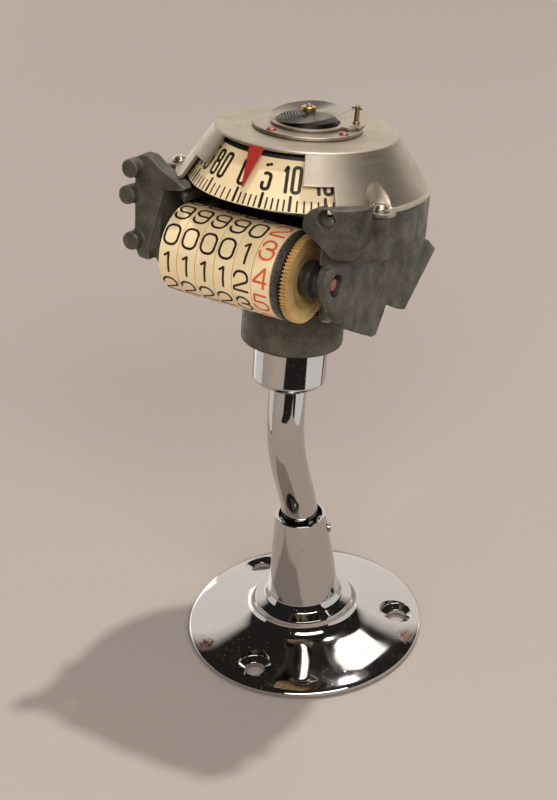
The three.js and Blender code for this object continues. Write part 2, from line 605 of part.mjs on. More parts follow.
for (let i = 1; i < WHEEL_NAMES.length; i++) {
  const seam = DRUM.left + i * DRUM.pitch - 0.1;
  add(pinionAxis, `transfer_pinion_${i}`, gearX(8, 3.1, 1, PINION_AXIS.r + 0.15, seam - 1.7, seam + 1.7), 'brass');
}
add(pinionAxis, 'pinion_shaft', rodX(PINION_AXIS.r, LEFT_PLATE.inner - 0.7, 12.9, 0, 0, SMALL), 'steel');

add(head, 'dial_drum', dialDrum(), 'cream');
add(head, 'dial_spider', dialSpider(), 'aluminium');
add(head, 'speed_cup', speedCup(), 'aluminium');
add(head, 'dial_spindle', post(0.8, 47, 60.1, 0, 0, SMALL), 'steel');
add(head, 'hairspring_collet', ring(0.9, 1.7, 58.2, 59.5, 16), 'brass');

add(head, 'top_cover', topCover(), 'nickel');
add(head, 'pointer', pointer(), 'red');
['right', 'left', 'rear'].forEach((side, i) => {
  add(head, `cover_screw_${side}`, footScrew(), 'steel', FOOT_SCREWS[i]);
});
add(head, 'bearing_disc', bearingDisc(), 'nickel');
RIVET_ANGLES.forEach((angle, i) => add(head, `disc_rivet_${i + 1}`, rivet(angle), 'copper'));

add(head, 'regulator_arm', regulatorArm(), 'nickel');
add(head, 'regulator_post', regulatorPost(), 'brass');
add(head, 'taper_pin', taperPin(), 'brass');
add(head, 'hairspring', hairspring(), 'blued');

export default root;
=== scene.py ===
"""Looks of a drum-dial speedometer movement with a six-wheel counter, on its chromed swan-neck stand.

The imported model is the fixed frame. Shapes are built here in millimetres, in the stand's frame or in the
movement's own frame (Z along the dial spindle, the counter facing -Y), then scaled to metres and placed
where the frame's joints are. Azimuths on the movement are measured from its front, -Y, towards +X.
"""
import json
import math

import bmesh
import bpy
from mathutils import Matrix, Vector, noise


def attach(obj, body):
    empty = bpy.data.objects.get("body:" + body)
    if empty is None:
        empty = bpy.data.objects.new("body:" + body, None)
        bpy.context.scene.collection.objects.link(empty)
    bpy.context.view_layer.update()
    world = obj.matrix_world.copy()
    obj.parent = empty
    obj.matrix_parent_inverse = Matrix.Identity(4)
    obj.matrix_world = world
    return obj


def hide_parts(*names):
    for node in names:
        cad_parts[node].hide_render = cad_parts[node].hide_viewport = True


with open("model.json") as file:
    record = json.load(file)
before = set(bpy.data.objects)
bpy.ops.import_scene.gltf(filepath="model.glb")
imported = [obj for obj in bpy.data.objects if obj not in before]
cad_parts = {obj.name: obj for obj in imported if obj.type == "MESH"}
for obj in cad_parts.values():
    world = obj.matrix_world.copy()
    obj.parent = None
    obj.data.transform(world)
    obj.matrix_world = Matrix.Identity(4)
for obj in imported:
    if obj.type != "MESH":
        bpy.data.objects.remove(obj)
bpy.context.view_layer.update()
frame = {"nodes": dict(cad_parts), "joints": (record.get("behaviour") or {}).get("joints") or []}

# ---------------------------------------------------------------- frames and sizes
MM = 0.001
TINY = 1e-4
TAU = 2 * math.pi
JOINTS = {joint["name"]: joint for joint in frame["joints"]}
SPINDLE = Vector(JOINTS["drive_turn"]["axis"])
LEAN = math.atan2(SPINDLE.y, SPINDLE.z)


def axis_frame(joint):
    """The movement's directions, with the origin on a joint's axis."""
    return Matrix.Translation(JOINTS[joint]["pos_m"]) @ Matrix.Rotation(-LEAN, 4, "X")


UP = Vector((0, 0, 1))
STAND = Matrix.Identity(4)
HEAD = axis_frame("drive_turn")
DRUM = axis_frame("tenths_turn")


def extent(node, where=HEAD):
    """Lowest and highest corner of a CAD node in one of the frames, in mm."""
    inverse = where.inverted()
    points = [(inverse @ vertex.co) / MM for vertex in frame["nodes"][node].data.vertices]
    low = Vector([min(p[i] for p in points) for i in range(3)])
    high = Vector([max(p[i] for p in points) for i in range(3)])
    return low, high


# ---------------------------------------------------------------- shape tools
def new_piece(name, verts, faces):
    """A mesh object from points and faces, with doubled points merged and its faces turned outward."""
    mesh = bpy.data.meshes.new(name)
    mesh.from_pydata([tuple(v) for v in verts], [], faces)
    shape = bmesh.new()
    shape.from_mesh(mesh)
    bmesh.ops.remove_doubles(shape, verts=shape.verts, dist=TINY)
    bmesh.ops.recalc_face_normals(shape, faces=shape.faces)
    shape.to_mesh(mesh)
    shape.free()
    piece = bpy.data.objects.new(name, mesh)
    bpy.context.scene.collection.objects.link(piece)
    return piece


def rounded(points, steps=5):
    """A closed outline whose corners given as (a, b, radius) are rounded to that radius."""
    outline = []
    for i, (a, b, *radius) in enumerate(points):
        corner = Vector((a, b))
        before = (Vector(points[i - 1][:2]) - corner).normalized()
        after = (Vector(points[(i + 1) % len(points)][:2]) - corner).normalized()
        half = before.angle(after) / 2
        if not radius or half > 1.55:
            outline.append(corner)
            continue
        reach = radius[0] / math.tan(half)
        centre = corner + (before + after).normalized() * radius[0] / math.sin(half)
        start, end = corner + before * reach - centre, corner + after * reach - centre
        outline += [centre + start.slerp(end, k / steps) * radius[0] for k in range(steps + 1)]
    return outline


def curve_through(points, steps=6):
    """A smooth curve through points, with its ends kept."""
    points = [Vector(point) for point in points]
    line = []
    for i in range(len(points) - 1):
        a, b = points[i], points[i + 1]
        before, after = points[max(i - 1, 0)], points[min(i + 2, len(points) - 1)]
        for k in range(steps):
            t = k / steps
            line.append(0.5 * (2 * a + (b - before) * t + (2 * before - 5 * a + 4 * b - after) * t ** 2
                               + (3 * a - before - 3 * b + after) * t ** 3))
    return line + [points[-1]]


def lathe(name, outline, segments=160, along="Z"):
    """Turns a closed (radius, height) outline about Z or X."""
    verts, rings = [], []
    for r, height in outline:
        count = segments if r > TINY else 1
        rings.append(range(len(verts), len(verts) + count))
        for i in range(count):
            a, b = r * math.cos(TAU * i / segments), r * math.sin(TAU * i / segments)
            verts.append((a, b, height) if along == "Z" else (height, a, b))
    faces = []
    for low, high in zip(rings, rings[1:] + rings[:1]):
        if len(low) == len(high) == 1:
            continue
        for i in range(segments):
            j = (i + 1) % segments
            corners = low[i % len(low)], low[j % len(low)], high[j % len(high)], high[i % len(high)]
            faces.append(tuple(dict.fromkeys(corners)))
    return new_piece(name, verts, faces)


def prism(name, outline, low, high, along="Z"):
    """A plate with a flat outline, from low to high along Z or X."""
    count = len(outline)
    verts = [(a, b, h) if along == "Z" else (h, a, b) for h in (low, high) for a, b in outline]
    faces = [(i, (i + 1) % count, (i + 1) % count + count, i + count) for i in range(count)]
    faces += [tuple(range(count)), tuple(range(count, 2 * count))]
    return new_piece(name, verts, faces)


def block(name, x, y, low, high):
    """A box over the given (left, right) and (front, back)."""
    return prism(name, [(x[0], y[0]), (x[1], y[0]), (x[1], y[1]), (x[0], y[1])], low, high)


def rings_along(path, section, up):
    """The corners of an (across, up) section carried along a path."""
    verts = []
    for i, point in enumerate(path):
        ahead = (path[min(i + 1, len(path) - 1)] - path[max(i - 1, 0)]).normalized()
        side = ahead.cross(up).normalized()
        lift = side.cross(ahead)
        verts += [point + side * a + lift * b for a, b in section]
    return verts


def sweep(name, path, section, up):
    """Carries a closed section along a path and caps both ends."""
    count = len(section)
    verts = rings_along(path, section, up)
    faces = [
        (i * count + k, i * count + (k + 1) % count, (i + 1) * count + (k + 1) % count, (i + 1) * count + k)
        for i in range(len(path) - 1) for k in range(count)
    ]
    faces += [tuple(range(count)), tuple(range(len(verts) - count, len(verts)))]
    return new_piece(name, verts, faces)


def circle(r, count):
    return [(r * math.cos(TAU * i / count), r * math.sin(TAU * i / count)) for i in range(count)]


def bar_outline(r, low, high):
    """Half outline of a plain round bar, for cutting a bore."""
    return [(0, low), (r, low), (r, high), (0, high)]


def sleeve(name, node, bore, soft, where=HEAD, segments=96, steps=5, along="Z"):
    """A ring or bar with a CAD node's ends and outer radius, its outer edges rounded to the radii in soft."""
    low, high = extent(node, where)
    start, end, r = (low.z, high.z, high.x) if along == "Z" else (low.x, high.x, high.z)
    outline = rounded([(bore, start), (r, start, soft[0]), (r, end, soft[1]), (bore, end)], steps)
    return lathe(name, outline, segments, along)


def apply_modifiers(piece):
    bpy.context.view_layer.update()
    graph = bpy.context.evaluated_depsgraph_get()
    mesh = bpy.data.meshes.new_from_object(piece.evaluated_get(graph))
    piece.modifiers.clear()
    piece.data = mesh
    return piece


def combine(piece, tools, operation="DIFFERENCE"):
    """Cuts the tools out of a piece, or joins them to it."""
    for tool in tools:
        step = piece.modifiers.new("combine", "BOOLEAN")
        step.operation, step.object, step.solver = operation, tool, "MANIFOLD"
    apply_modifiers(piece)
    for tool in tools:
        bpy.data.objects.remove(tool)
    return piece


def bevel(piece, width, segments=2, angle=35):
    step = piece.modifiers.new("edge", "BEVEL")
    step.width, step.segments, step.angle_limit = width, segments, math.radians(angle)
    return apply_modifiers(piece)


def smoothstep(low, high, value):
    share = min(1.0, max(0.0, (value - low) / (high - low)))
    return share * share * (3 - 2 * share)


# ---------------------------------------------------------------- materials
ARC_RADIUS = 25.0  # mm at which an angle counts as an arc length, for brushing
# Near-black painted shade, laid on metal inside a radius where shade falls under other parts.
PAINTED_SHADE_BLACK = (0.020, 0.018, 0.015)
RUSTED = (0.17, 0.065, 0.035)
RUST_HEIGHT = 2.6  # mm above the ground


class Nodes:
    """Adds nodes to a node tree."""

    def __init__(self, tree):
        self.tree = tree

    def node(self, kind, inputs, **settings):
        made = self.tree.nodes.new(kind)
        for key, value in settings.items():
            setattr(made, key, value)
        for key, value in inputs.items():
            self.feed(made.inputs[key], value)
        return made

    def feed(self, socket, value):
        if isinstance(value, bpy.types.NodeSocket):
            self.tree.links.new(value, socket)
        elif socket.type == "RGBA":
            socket.default_value = (*value, 1)
        else:
            socket.default_value = value

    def spread(self, value, low, high, black=0.0, white=1.0):
        """Maps low..high of a value to black..white, clamped."""
        inputs = {0: value, 1: low, 2: high, 3: black, 4: white}
        return self.node("ShaderNodeMapRange", inputs).outputs[0]

    def mix(self, share, a, b):
        return self.node("ShaderNodeMix", {0: share, 6: a, 7: b}, data_type="RGBA").outputs[2]

    def math(self, operation, a, b=0.0):
        return self.node("ShaderNodeMath", {0: a, 1: b}, operation=operation).outputs[0]

    def times(self, a, b):
        return self.math("MULTIPLY", a, b)

    def split(self, vector):
        """The x, y and z of a vector."""
        return self.node("ShaderNodeSeparateXYZ", {0: vector}).outputs


class Finish(Nodes):
    """Builds one node material. Coordinates are the piece's own, in mm."""

    INPUTS = {"colour": "Base Color", "metal": "Metallic", "rough": "Roughness", "normal": "Normal",
              "coat": "Coat Weight", "coat_rough": "Coat Roughness", "specular": "Specular IOR Level"}

    def __init__(self, name, **inputs):
        self.material = bpy.data.materials.new(name)
        self.material.use_nodes = True
        super().__init__(self.material.node_tree)
        self.shader = self.tree.nodes["Principled BSDF"]
        place = self.tree.nodes.new("ShaderNodeTexCoord").outputs["Object"]
        self.point = self.node("ShaderNodeVectorMath", {0: place, 3: 1 / MM}, operation="SCALE").outputs[0]
        self.set(**inputs)

    def set(self, **inputs):
        for key, value in inputs.items():
            self.feed(self.shader.inputs[self.INPUTS[key]], value)

    def noise(self, per_mm, detail=4, stretch=(1, 1, 1), point=None, rough=0.55):
        where = self.node("ShaderNodeMapping", {"Vector": point or self.point, "Scale": stretch}).outputs[0]
        inputs = {"Vector": where, "Scale": per_mm, "Detail": detail, "Roughness": rough}
        return self.node("ShaderNodeTexNoise", inputs).outputs[0]

    def bump(self, height, depth, strength=1.0):
        """Depth in mm."""
        inputs = {"Height": height, "Distance": depth * MM, "Strength": strength}
        return self.node("ShaderNodeBump", inputs).outputs[0]

    def edges(self, low=0.52, high=0.6):
        """Where the surface is sharply convex."""
        return self.spread(self.node("ShaderNodeNewGeometry", {}).outputs["Pointiness"], low, high)

    def around(self):
        """Coordinates that follow the turned direction: arc length, radius and height, in mm."""
        x, y, z = self.split(self.point)
        radius = self.math("SQRT", self.math("ADD", self.math("POWER", x, 2.0), self.math("POWER", y, 2.0)))
        arc = self.times(self.math("ARCTAN2", y, x), ARC_RADIUS)
        return self.node("ShaderNodeCombineXYZ", {0: arc, 1: radius, 2: z}).outputs[0]


def chrome_plate(name="chrome_plate", rust=()):
    """Bright plate with faint smudges and tiny pits, rusted in patches given as (x, y, radius)."""
    f = Finish(name, metal=1.0)
    smudge = f.spread(f.noise(0.12, 5), 0.42, 0.7)
    pits = f.spread(f.noise(2.2, 2), 0.70, 0.76)
    rusted = 0.0
    for x, y, r in rust:
        middle = (x, y, RUST_HEIGHT)
        away = f.node("ShaderNodeVectorMath", {0: f.point, 1: middle}, operation="DISTANCE").outputs["Value"]
        near = f.spread(away, 0.2 * r, r, 1, 0)
        ragged = f.times(near, f.noise(1.1, 6, rough=0.7))
        rusted = f.math("MAXIMUM", rusted, f.spread(ragged, 0.33, 0.52))
    tone = f.mix(pits, (0.53, 0.515, 0.50), (0.18, 0.14, 0.10))
    f.set(colour=f.mix(rusted, tone, RUSTED))
    dull = f.math("MAXIMUM", f.times(pits, 0.3), f.times(rusted, 0.5))
    f.set(rough=f.math("ADD", f.spread(smudge, 0, 1, 0.035, 0.10), dull))
    f.set(normal=f.bump(f.math("ADD", f.noise(0.05, 2), f.times(pits, -0.6)), 0.05, 0.5))
    return f.material


def zinc_casting():
    """Dark oxidised die casting: mottled, a little lighter on worn edges."""
    f = Finish("zinc_casting")
    cloud = f.spread(f.noise(0.22, 6, rough=0.6), 0.35, 0.68)
    speck = f.spread(f.noise(1.7, 4, rough=0.7), 0.52, 0.74)
    base = f.mix(cloud, (0.056, 0.049, 0.036), (0.130, 0.114, 0.088))
    grey = f.mix(f.times(speck, 0.55), base, (0.20, 0.185, 0.152))
    f.set(colour=f.mix(f.times(f.edges(), 0.5), grey, (0.30, 0.28, 0.25)))
    f.set(metal=0.35, rough=f.spread(cloud, 0, 1, 0.60, 0.46), specular=0.4)
    grain = f.math("ADD", f.noise(3.2, 5, rough=0.65), f.times(f.noise(0.6, 3), 0.8))
    f.set(normal=f.bump(grain, 0.10, 0.55))
    return f.material


def turned_metal(name, colour, stain, rough, brush=0.5, metal=1.0, painted_shade_within=None):
    """Metal with fine brushing round its axis and soft stains, and painted shade, near black, within a
    radius.
    """
    f = Finish(name, metal=metal)
    around = f.around()
    lines = f.noise(1.0, 6, (0.05, 9, 9), around, 0.7)
    patch = f.spread(f.noise(0.16, 5), 0.38, 0.68)
    tone = f.mix(f.times(patch, 0.55), colour, stain)
    tone = f.mix(f.spread(lines, 0.3, 0.7, 0, 0.25 * brush), tone, stain)
    if painted_shade_within:
        # painted shade: near black inside the radius
        inside = f.spread(f.split(around)[1], painted_shade_within - 0.05, painted_shade_within + 0.05, 1, 0)
        tone = f.mix(inside, tone, PAINTED_SHADE_BLACK)
    f.set(colour=tone)
    streaks = f.spread(lines, 0.3, 0.7, rough - 0.07, rough + 0.09)
    f.set(rough=f.math("ADD", streaks, f.spread(patch, 0, 1, 0, 0.06)))
    f.set(normal=f.bump(lines, 0.02 * brush, 0.6))
    return f.material


def cream_enamel(name="cream_enamel", painted_shade_from=None):
    """Aged cream print stock: mottled, yellowed in patches, with faint dirt, and painted shade, black, above
    a height.
    """
    f = Finish(name, metal=0.0, coat=0.15, coat_rough=0.3)
    tone = f.mix(f.spread(f.noise(0.14, 4), 0.35, 0.7), (0.94, 0.755, 0.465), (0.87, 0.65, 0.36))
    dirt = f.spread(f.noise(1.3, 5, rough=0.7), 0.58, 0.8, 0, 0.35)
    tone = f.mix(dirt, tone, (0.45, 0.32, 0.16))
    if painted_shade_from:
        # painted shade: black above this height, for the shadow gap under the cover
        above = f.spread(f.split(f.point)[2], painted_shade_from - 0.03, painted_shade_from + 0.03)
        tone = f.mix(above, tone, (0.012, 0.010, 0.008))
    f.set(colour=tone)
    f.set(rough=f.spread(f.noise(0.8, 3), 0.3, 0.7, 0.42, 0.58), normal=f.bump(f.noise(5, 3), 0.012, 0.4))
    return f.material


def ink(name, colour, worn):
    """Printed ink, thinner in places."""
    f = Finish(name, metal=0.0, rough=0.45)
    thin = f.spread(f.noise(1.9, 4, rough=0.7), 0.56, 0.80, 0, 0.5)
    f.set(colour=f.mix(thin, colour, worn), normal=f.bump(f.noise(6, 2), 0.01, 0.4))
    return f.material


def paint(name, colour, shade, chip, rough, chipping):
    """Enamel with uneven gloss, chipped to bare metal on sharp edges."""
    f = Finish(name)
    tone = f.mix(f.spread(f.noise(0.5, 4), 0.35, 0.7), colour, shade)
    bare = f.times(f.edges(0.53, 0.6), f.spread(f.noise(1.4, 4), 0.40, 0.58, 0, chipping))
    f.set(colour=f.mix(bare, tone, chip), metal=f.times(bare, 0.8))
    f.set(rough=f.spread(f.noise(0.9, 3), 0.3, 0.7, rough - 0.08, rough + 0.1))
    f.set(normal=f.bump(f.noise(2.5, 4), 0.02, 0.5))
    return f.material


def floor_paper():
    """Seamless warm grey paper."""
    f = Finish("floor_paper", metal=0.0, rough=0.9, specular=0.1)
    f.set(colour=f.mix(f.noise(0.004, 2), (0.450, 0.388, 0.350), (0.472, 0.407, 0.368)))
    return f.material


NICKEL = (0.49, 0.424, 0.342), (0.36, 0.302, 0.233), 0.44, 0.9
FINISHES = {
    "chrome_plate": chrome_plate(),
    "zinc_casting": zinc_casting(),
    "nickel_plate": turned_metal("nickel_plate", *NICKEL),
    "screw_steel": turned_metal("screw_steel", (0.62, 0.56, 0.47), (0.30, 0.22, 0.14), 0.26, 0.4),
    "shaft_steel": turned_metal("shaft_steel", (0.50, 0.48, 0.45), (0.24, 0.21, 0.18), 0.32, 0.5),
    "bronze": turned_metal("bronze", (0.33, 0.19, 0.09), (0.12, 0.07, 0.04), 0.42, 0.6),
    "brass": turned_metal("brass", (0.74, 0.49, 0.17), (0.28, 0.15, 0.05), 0.30, 0.6),
    "copper": turned_metal("copper", (0.42, 0.16, 0.11), (0.18, 0.08, 0.06), 0.38, 0.6),
    "aluminium": turned_metal("aluminium", (0.70, 0.69, 0.67), (0.45, 0.44, 0.42), 0.34, 0.8),
    "blued_steel": turned_metal("blued_steel", (0.42, 0.40, 0.36), (0.20, 0.19, 0.165), 0.30, 0.2),
    "cream_enamel": cream_enamel(),
    "black_enamel": paint(
        "black_enamel", (0.018, 0.016, 0.014), (0.035, 0.03, 0.024), (0.30, 0.27, 0.22), 0.42, 0.5),
    "red_enamel": paint(
        "red_enamel", (0.40, 0.022, 0.014), (0.31, 0.014, 0.010), (0.55, 0.40, 0.34), 0.45, 0.9),
}
BLACK_INK = ink("black_ink", (0.018, 0.011, 0.006), (0.12, 0.075, 0.035))
RED_INK = ink("red_ink", (0.72, 0.115, 0.035), (0.80, 0.30, 0.13))


def place(piece, body, slot, nodes=(), where=HEAD, finish=None, smooth=32):
    """Scales a finished shape to metres, puts it in its frame and lets it ride on its body."""
    mesh = piece.data
    mesh.transform(Matrix.Scale(MM, 4))
    mesh.shade_smooth()
    mesh.set_sharp_from_angle(angle=math.radians(smooth))
    mesh.materials.clear()
    mesh.materials.append(finish or FINISHES[slot])
    shading = piece.modifiers.new("shading", "WEIGHTED_NORMAL")
    shading.keep_sharp = True
    piece.matrix_world = where
    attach(piece, body)
    if nodes:
        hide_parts(*nodes)
    return piece


# ---------------------------------------------------------------- stand
SCREW_CIRCLE_R = 25.2
SCREW_HOLE_R = 2.6
COUNTERSINK_R = 4.4
SCREW_ANGLES = (-90, 30, 150)
TAPPED_R = 1.5
SET_SCREW_R = 1.3
SET_SCREW_FROM = 5.4  # inner end, from the stand's axis
CAD_SCREW_FROM = 5.2  # inner end of the CAD screw
SET_LOW, SET_HIGH = extent("set_screw", STAND)
SET_MIDDLE = (SET_LOW + SET_HIGH) / 2
SET_SCREW_FRAME = (
    Matrix.Translation((0, 0, SET_MIDDLE.z))
    @ Matrix.Rotation(math.atan2(SET_MIDDLE.y, SET_MIDDLE.x), 4, "Z")
    @ Matrix.Rotation(math.pi / 2, 4, "Y")
)


def stand_flange():
    """Domed flange with a rolled rim, a ring step and a tapered socket, hollow underneath."""
    edge = extent("flange_base", STAND)[1]
    rim, top = edge.x, edge.z
    dome = curve_through([
        (rim - 0.55, 1.95), (rim - 1.5, 2.35), (28, 3.1), (25.2, 3.8), (20, 5.05), (16.6, 6.0), (14.6, 7.0),
        (13.5, 8.4), (13.1, 9.9),
    ])
    outline = rounded([
        (0, 2.6), (26, 0.9, 2), (rim - 2.2, 0, 0.4), (rim - 0.3, 0, 0.3), (rim, 0.9, 0.3),
        (rim - 0.15, 1.55, 0.3), *dome, (12.9, 10.35, 0.25), (10.4, 11.15, 0.8), (9.45, 12.9, 1.4),
        (6.65, top - 0.1, 0.25), (5.75, top - 0.15, 0.2), (5.75, 34.6, 0.2), (5.05, 34.2), (5.05, 3.2),
        (0, 3.2),
    ], 6)
    body = lathe("stand_flange", outline, 240)
    tools = []
    for angle in SCREW_ANGLES:
        x = SCREW_CIRCLE_R * math.cos(math.radians(angle))
        y = SCREW_CIRCLE_R * math.sin(math.radians(angle))
        tool = lathe("hole", rounded([
            (0, -1), (SCREW_HOLE_R, -1), (SCREW_HOLE_R, 2.0, 0.25), (COUNTERSINK_R, 3.0, 0.3),
            (COUNTERSINK_R + 0.35, 6), (0, 6),
        ]), 96)
        tool.data.transform(Matrix.Translation((x, y, 0)))
        tools.append(tool)
    tapped = lathe("tapped", bar_outline(TAPPED_R, 4, 14), 64)
    tapped.data.transform(SET_SCREW_FRAME)
    return combine(body, tools + [tapped])


RUST = [(-16.3, -24.0, 5.5), (28.6, 5.4, 5.5)]  # x, y and radius of the patches
place(stand_flange(), "stand", "chrome_plate", ["flange_base"], STAND, chrome_plate("rusty_chrome", RUST))


def set_screw():
    """Headless screw with a slotted outer end."""
    reach = math.hypot(SET_MIDDLE.x, SET_MIDDLE.y) * 2 - CAD_SCREW_FROM
    outline = rounded([
        (0, SET_SCREW_FROM), (SET_SCREW_R, SET_SCREW_FROM), (SET_SCREW_R, reach, 0.25), (0, reach),
    ])
    screw = lathe("socket_set_screw", outline, 64)
    slot = block("slot", (-0.22, 0.22), (-2, 2), reach - 0.6, reach + 1)
    combine(screw, [slot])
    screw.data.transform(SET_SCREW_FRAME)
    return screw


place(set_screw(), "stand", "screw_steel", ["set_screw"], STAND)

TUBE_R = 4.75
TUBE_BORE_R = 3.65
FORWARD_LEAN = math.radians(15.4)
LOW_BEND = Vector((0, 0, 38.5))
LOW_REACH = 6.5  # length of a bend on each side of its corner
HIGH_BEND_Z = -28.1  # on the movement's axis
HIGH_REACH = 10


def stalk_path():
    """Upright in the socket, leaning forward, then back into line with the movement."""
    def on_head(t):
        return (HEAD @ Vector((0, 0, t * MM))) / MM

    def bend(start, corner, end, count=28):
        shares = [k / count for k in range(count + 1)]
        return [start.lerp(corner, t).lerp(corner.lerp(end, t), t) for t in shares]

    leg = Vector((0, -math.sin(FORWARD_LEAN), math.cos(FORWARD_LEAN)))
    high_bend = on_head(HIGH_BEND_Z)
    path = [Vector((0, 0, 4)), Vector((0, 0, 20))]
    path += bend(LOW_BEND - Vector((0, 0, LOW_REACH)), LOW_BEND, LOW_BEND + leg * LOW_REACH)
    path += bend(high_bend - leg * HIGH_REACH, high_bend, on_head(HIGH_BEND_Z + HIGH_REACH))
    path += [on_head(-12), on_head(extent("coupling_collar")[0].z + 3)]
    return path


def hollow_tube():
    """The tube's wall: an outer and an inner skin joined by a ring at each end."""
    path, count = stalk_path(), 96
    verts = rings_along(path, circle(TUBE_R, count) + circle(TUBE_BORE_R, count), Vector((1, 0, 0)))
    faces, stride = [], 2 * count
    for k in range(count):
        n = (k + 1) % count
        for i in range(len(path) - 1):
            at = i * stride
            faces.append((at + k, at + n, at + stride + n, at + stride + k))
            faces.append((at + count + n, at + count + k, at + stride + count + k, at + stride + count + n))
        for at in (0, (len(path) - 1) * stride):
            faces.append((at + k, at + n, at + count + n, at + count + k))
    return new_piece("stalk", verts, faces)


place(hollow_tube(), "movement", "chrome_plate", ["stalk_tube"], STAND)


# ---------------------------------------------------------------- collar and lower end of the movement
def coupling_collar():
    low, high = extent("coupling_collar")
    r, bore = high.x, TUBE_R + 0.25
    outline = rounded([
        (bore, low.z, 0.2), (r - 0.9, low.z, 0.5), (r, low.z + 1.0, 0.9), (r, high.z - 0.8, 0.5),
        (r - 0.5, high.z, 0.3), (6.65, high.z), (6.65, -7.6), (bore, -7.6),
    ])
    return lathe("coupling_collar_shell", outline, 192)


place(coupling_collar(), "movement", "chrome_plate", ["coupling_collar"])
FERRULE = sleeve("ferrule", "stalk_ferrule", TUBE_R + 0.1, (0.3, 0.2), segments=128)
place(FERRULE, "movement", "bronze", ["stalk_ferrule"])

# ---------------------------------------------------------------- frame casting
CAST_VOXEL = 0.30
CAST_SMOOTHING = 5
CAST_UNEVEN = 0.05


def frame_casting():
    """The CAD casting with its sharp edges run soft, as a die casting's are, and slightly uneven faces."""
    mesh = frame["nodes"]["frame_casting"].data.copy()
    mesh.transform(Matrix.Scale(1 / MM, 4) @ HEAD.inverted())
    piece = bpy.data.objects.new("frame_die_casting", mesh)
    bpy.context.scene.collection.objects.link(piece)
    remesh = piece.modifiers.new("remesh", "REMESH")
    remesh.mode, remesh.voxel_size = "VOXEL", CAST_VOXEL
    soften = piece.modifiers.new("soften", "SMOOTH")
    soften.factor, soften.iterations = 0.5, CAST_SMOOTHING
    apply_modifiers(piece)
    normals = [vertex.normal.copy() for vertex in piece.data.vertices]
    for vertex, normal in zip(piece.data.vertices, normals):
        vertex.co += normal * CAST_UNEVEN * noise.noise(vertex.co * 0.5)
    return piece


place(frame_casting(), "movement", "zinc_casting", ["frame_casting"], smooth=60)


# ---------------------------------------------------------------- print on the wheels and the dial
def resampled(points, closed, step=0.25):
    line = []
    ends = points[1:] + (points[:1] if closed else [])
    for a, b in zip(points, ends):
        count = max(1, math.ceil((b - a).length / step))
        line += [a.lerp(b, k / count) for k in range(count)]
    return line if closed else line + [points[-1]]


def ribbon(line, width, closed):
    """Cross-sections (middle, half-width vector) of an inked line, with round ends if it is open."""
    sections = []
    for i, point in enumerate(line):
        back = point - line[i - 1] if closed or i else None
        front = line[(i + 1) % len(line)] - point if closed or i < len(line) - 1 else None
        along = ((back or front).normalized() + (front or back).normalized()).normalized()
        across = Vector((-along.y, along.x)) * width / 2
        mitre = max(0.5, along.dot((front or back).normalized()))
        sections.append((point, across / mitre))
    if not closed:
        for end, outward in ((0, line[0] - line[1]), (-1, line[-1] - line[-2])):
            middle, across = sections[end]
            outward = outward.normalized() * width / 2
            caps = [
                (middle + outward * math.sin(math.radians(lap)), across * math.cos(math.radians(lap)))
                for lap in (30, 55, 75)
            ]
            sections = caps[::-1] + sections if end == 0 else sections + caps
    return sections


class Print:
    """Collects inked lines as thin closed ribbons laid on a curved surface."""

    def __init__(self, lay):
        self.lay, self.verts, self.faces = lay, [], []

    def line(self, points, width, at, closed=False):
        sections = ribbon(resampled(points, closed), width, closed)
        first = len(self.verts)
        for middle, across in sections:
            left, right = middle + across, middle - across
            for point, level in ((left, 1), (right, 1), (right, 0), (left, 0)):
                self.verts.append(self.lay(point.x, point.y, level, at))
        count = len(sections)
        for i in range(count if closed else count - 1):
            a, b = first + 4 * i, first + 4 * ((i + 1) % count)
            self.faces += [(a + k, a + (k + 1) % 4, b + (k + 1) % 4, b + k) for k in range(4)]
        if not closed:
            self.faces += [tuple(range(first, first + 4)), tuple(range(len(self.verts) - 4, len(self.verts)))]

    def glyph(self, digit, width, height, stroke, at, shift=0.0):
        """Draws a digit in a box of this size, middle at shift."""
        for closed, points in GLYPHS[digit]:
            corners = []
            for u, v, *soft in points:
                radius = [soft[0] * (width - stroke)] if soft else []
                corners.append((u * (width - stroke), v * (height - stroke), *radius))
            line = rounded(corners, 6) if closed else open_rounded(corners)
            self.line([Vector((p[0] + shift, p[1])) for p in line], stroke, at, closed)

    def piece(self, name):
        return new_piece(name, self.verts, self.faces)


def open_rounded(corners):
    """Rounds the inner corners of an open line and keeps its ends."""
    inner = [tuple(corners[0][:2])] + [tuple(c) for c in corners[1:-1]] + [tuple(corners[-1][:2])]
    return rounded(inner, 6)


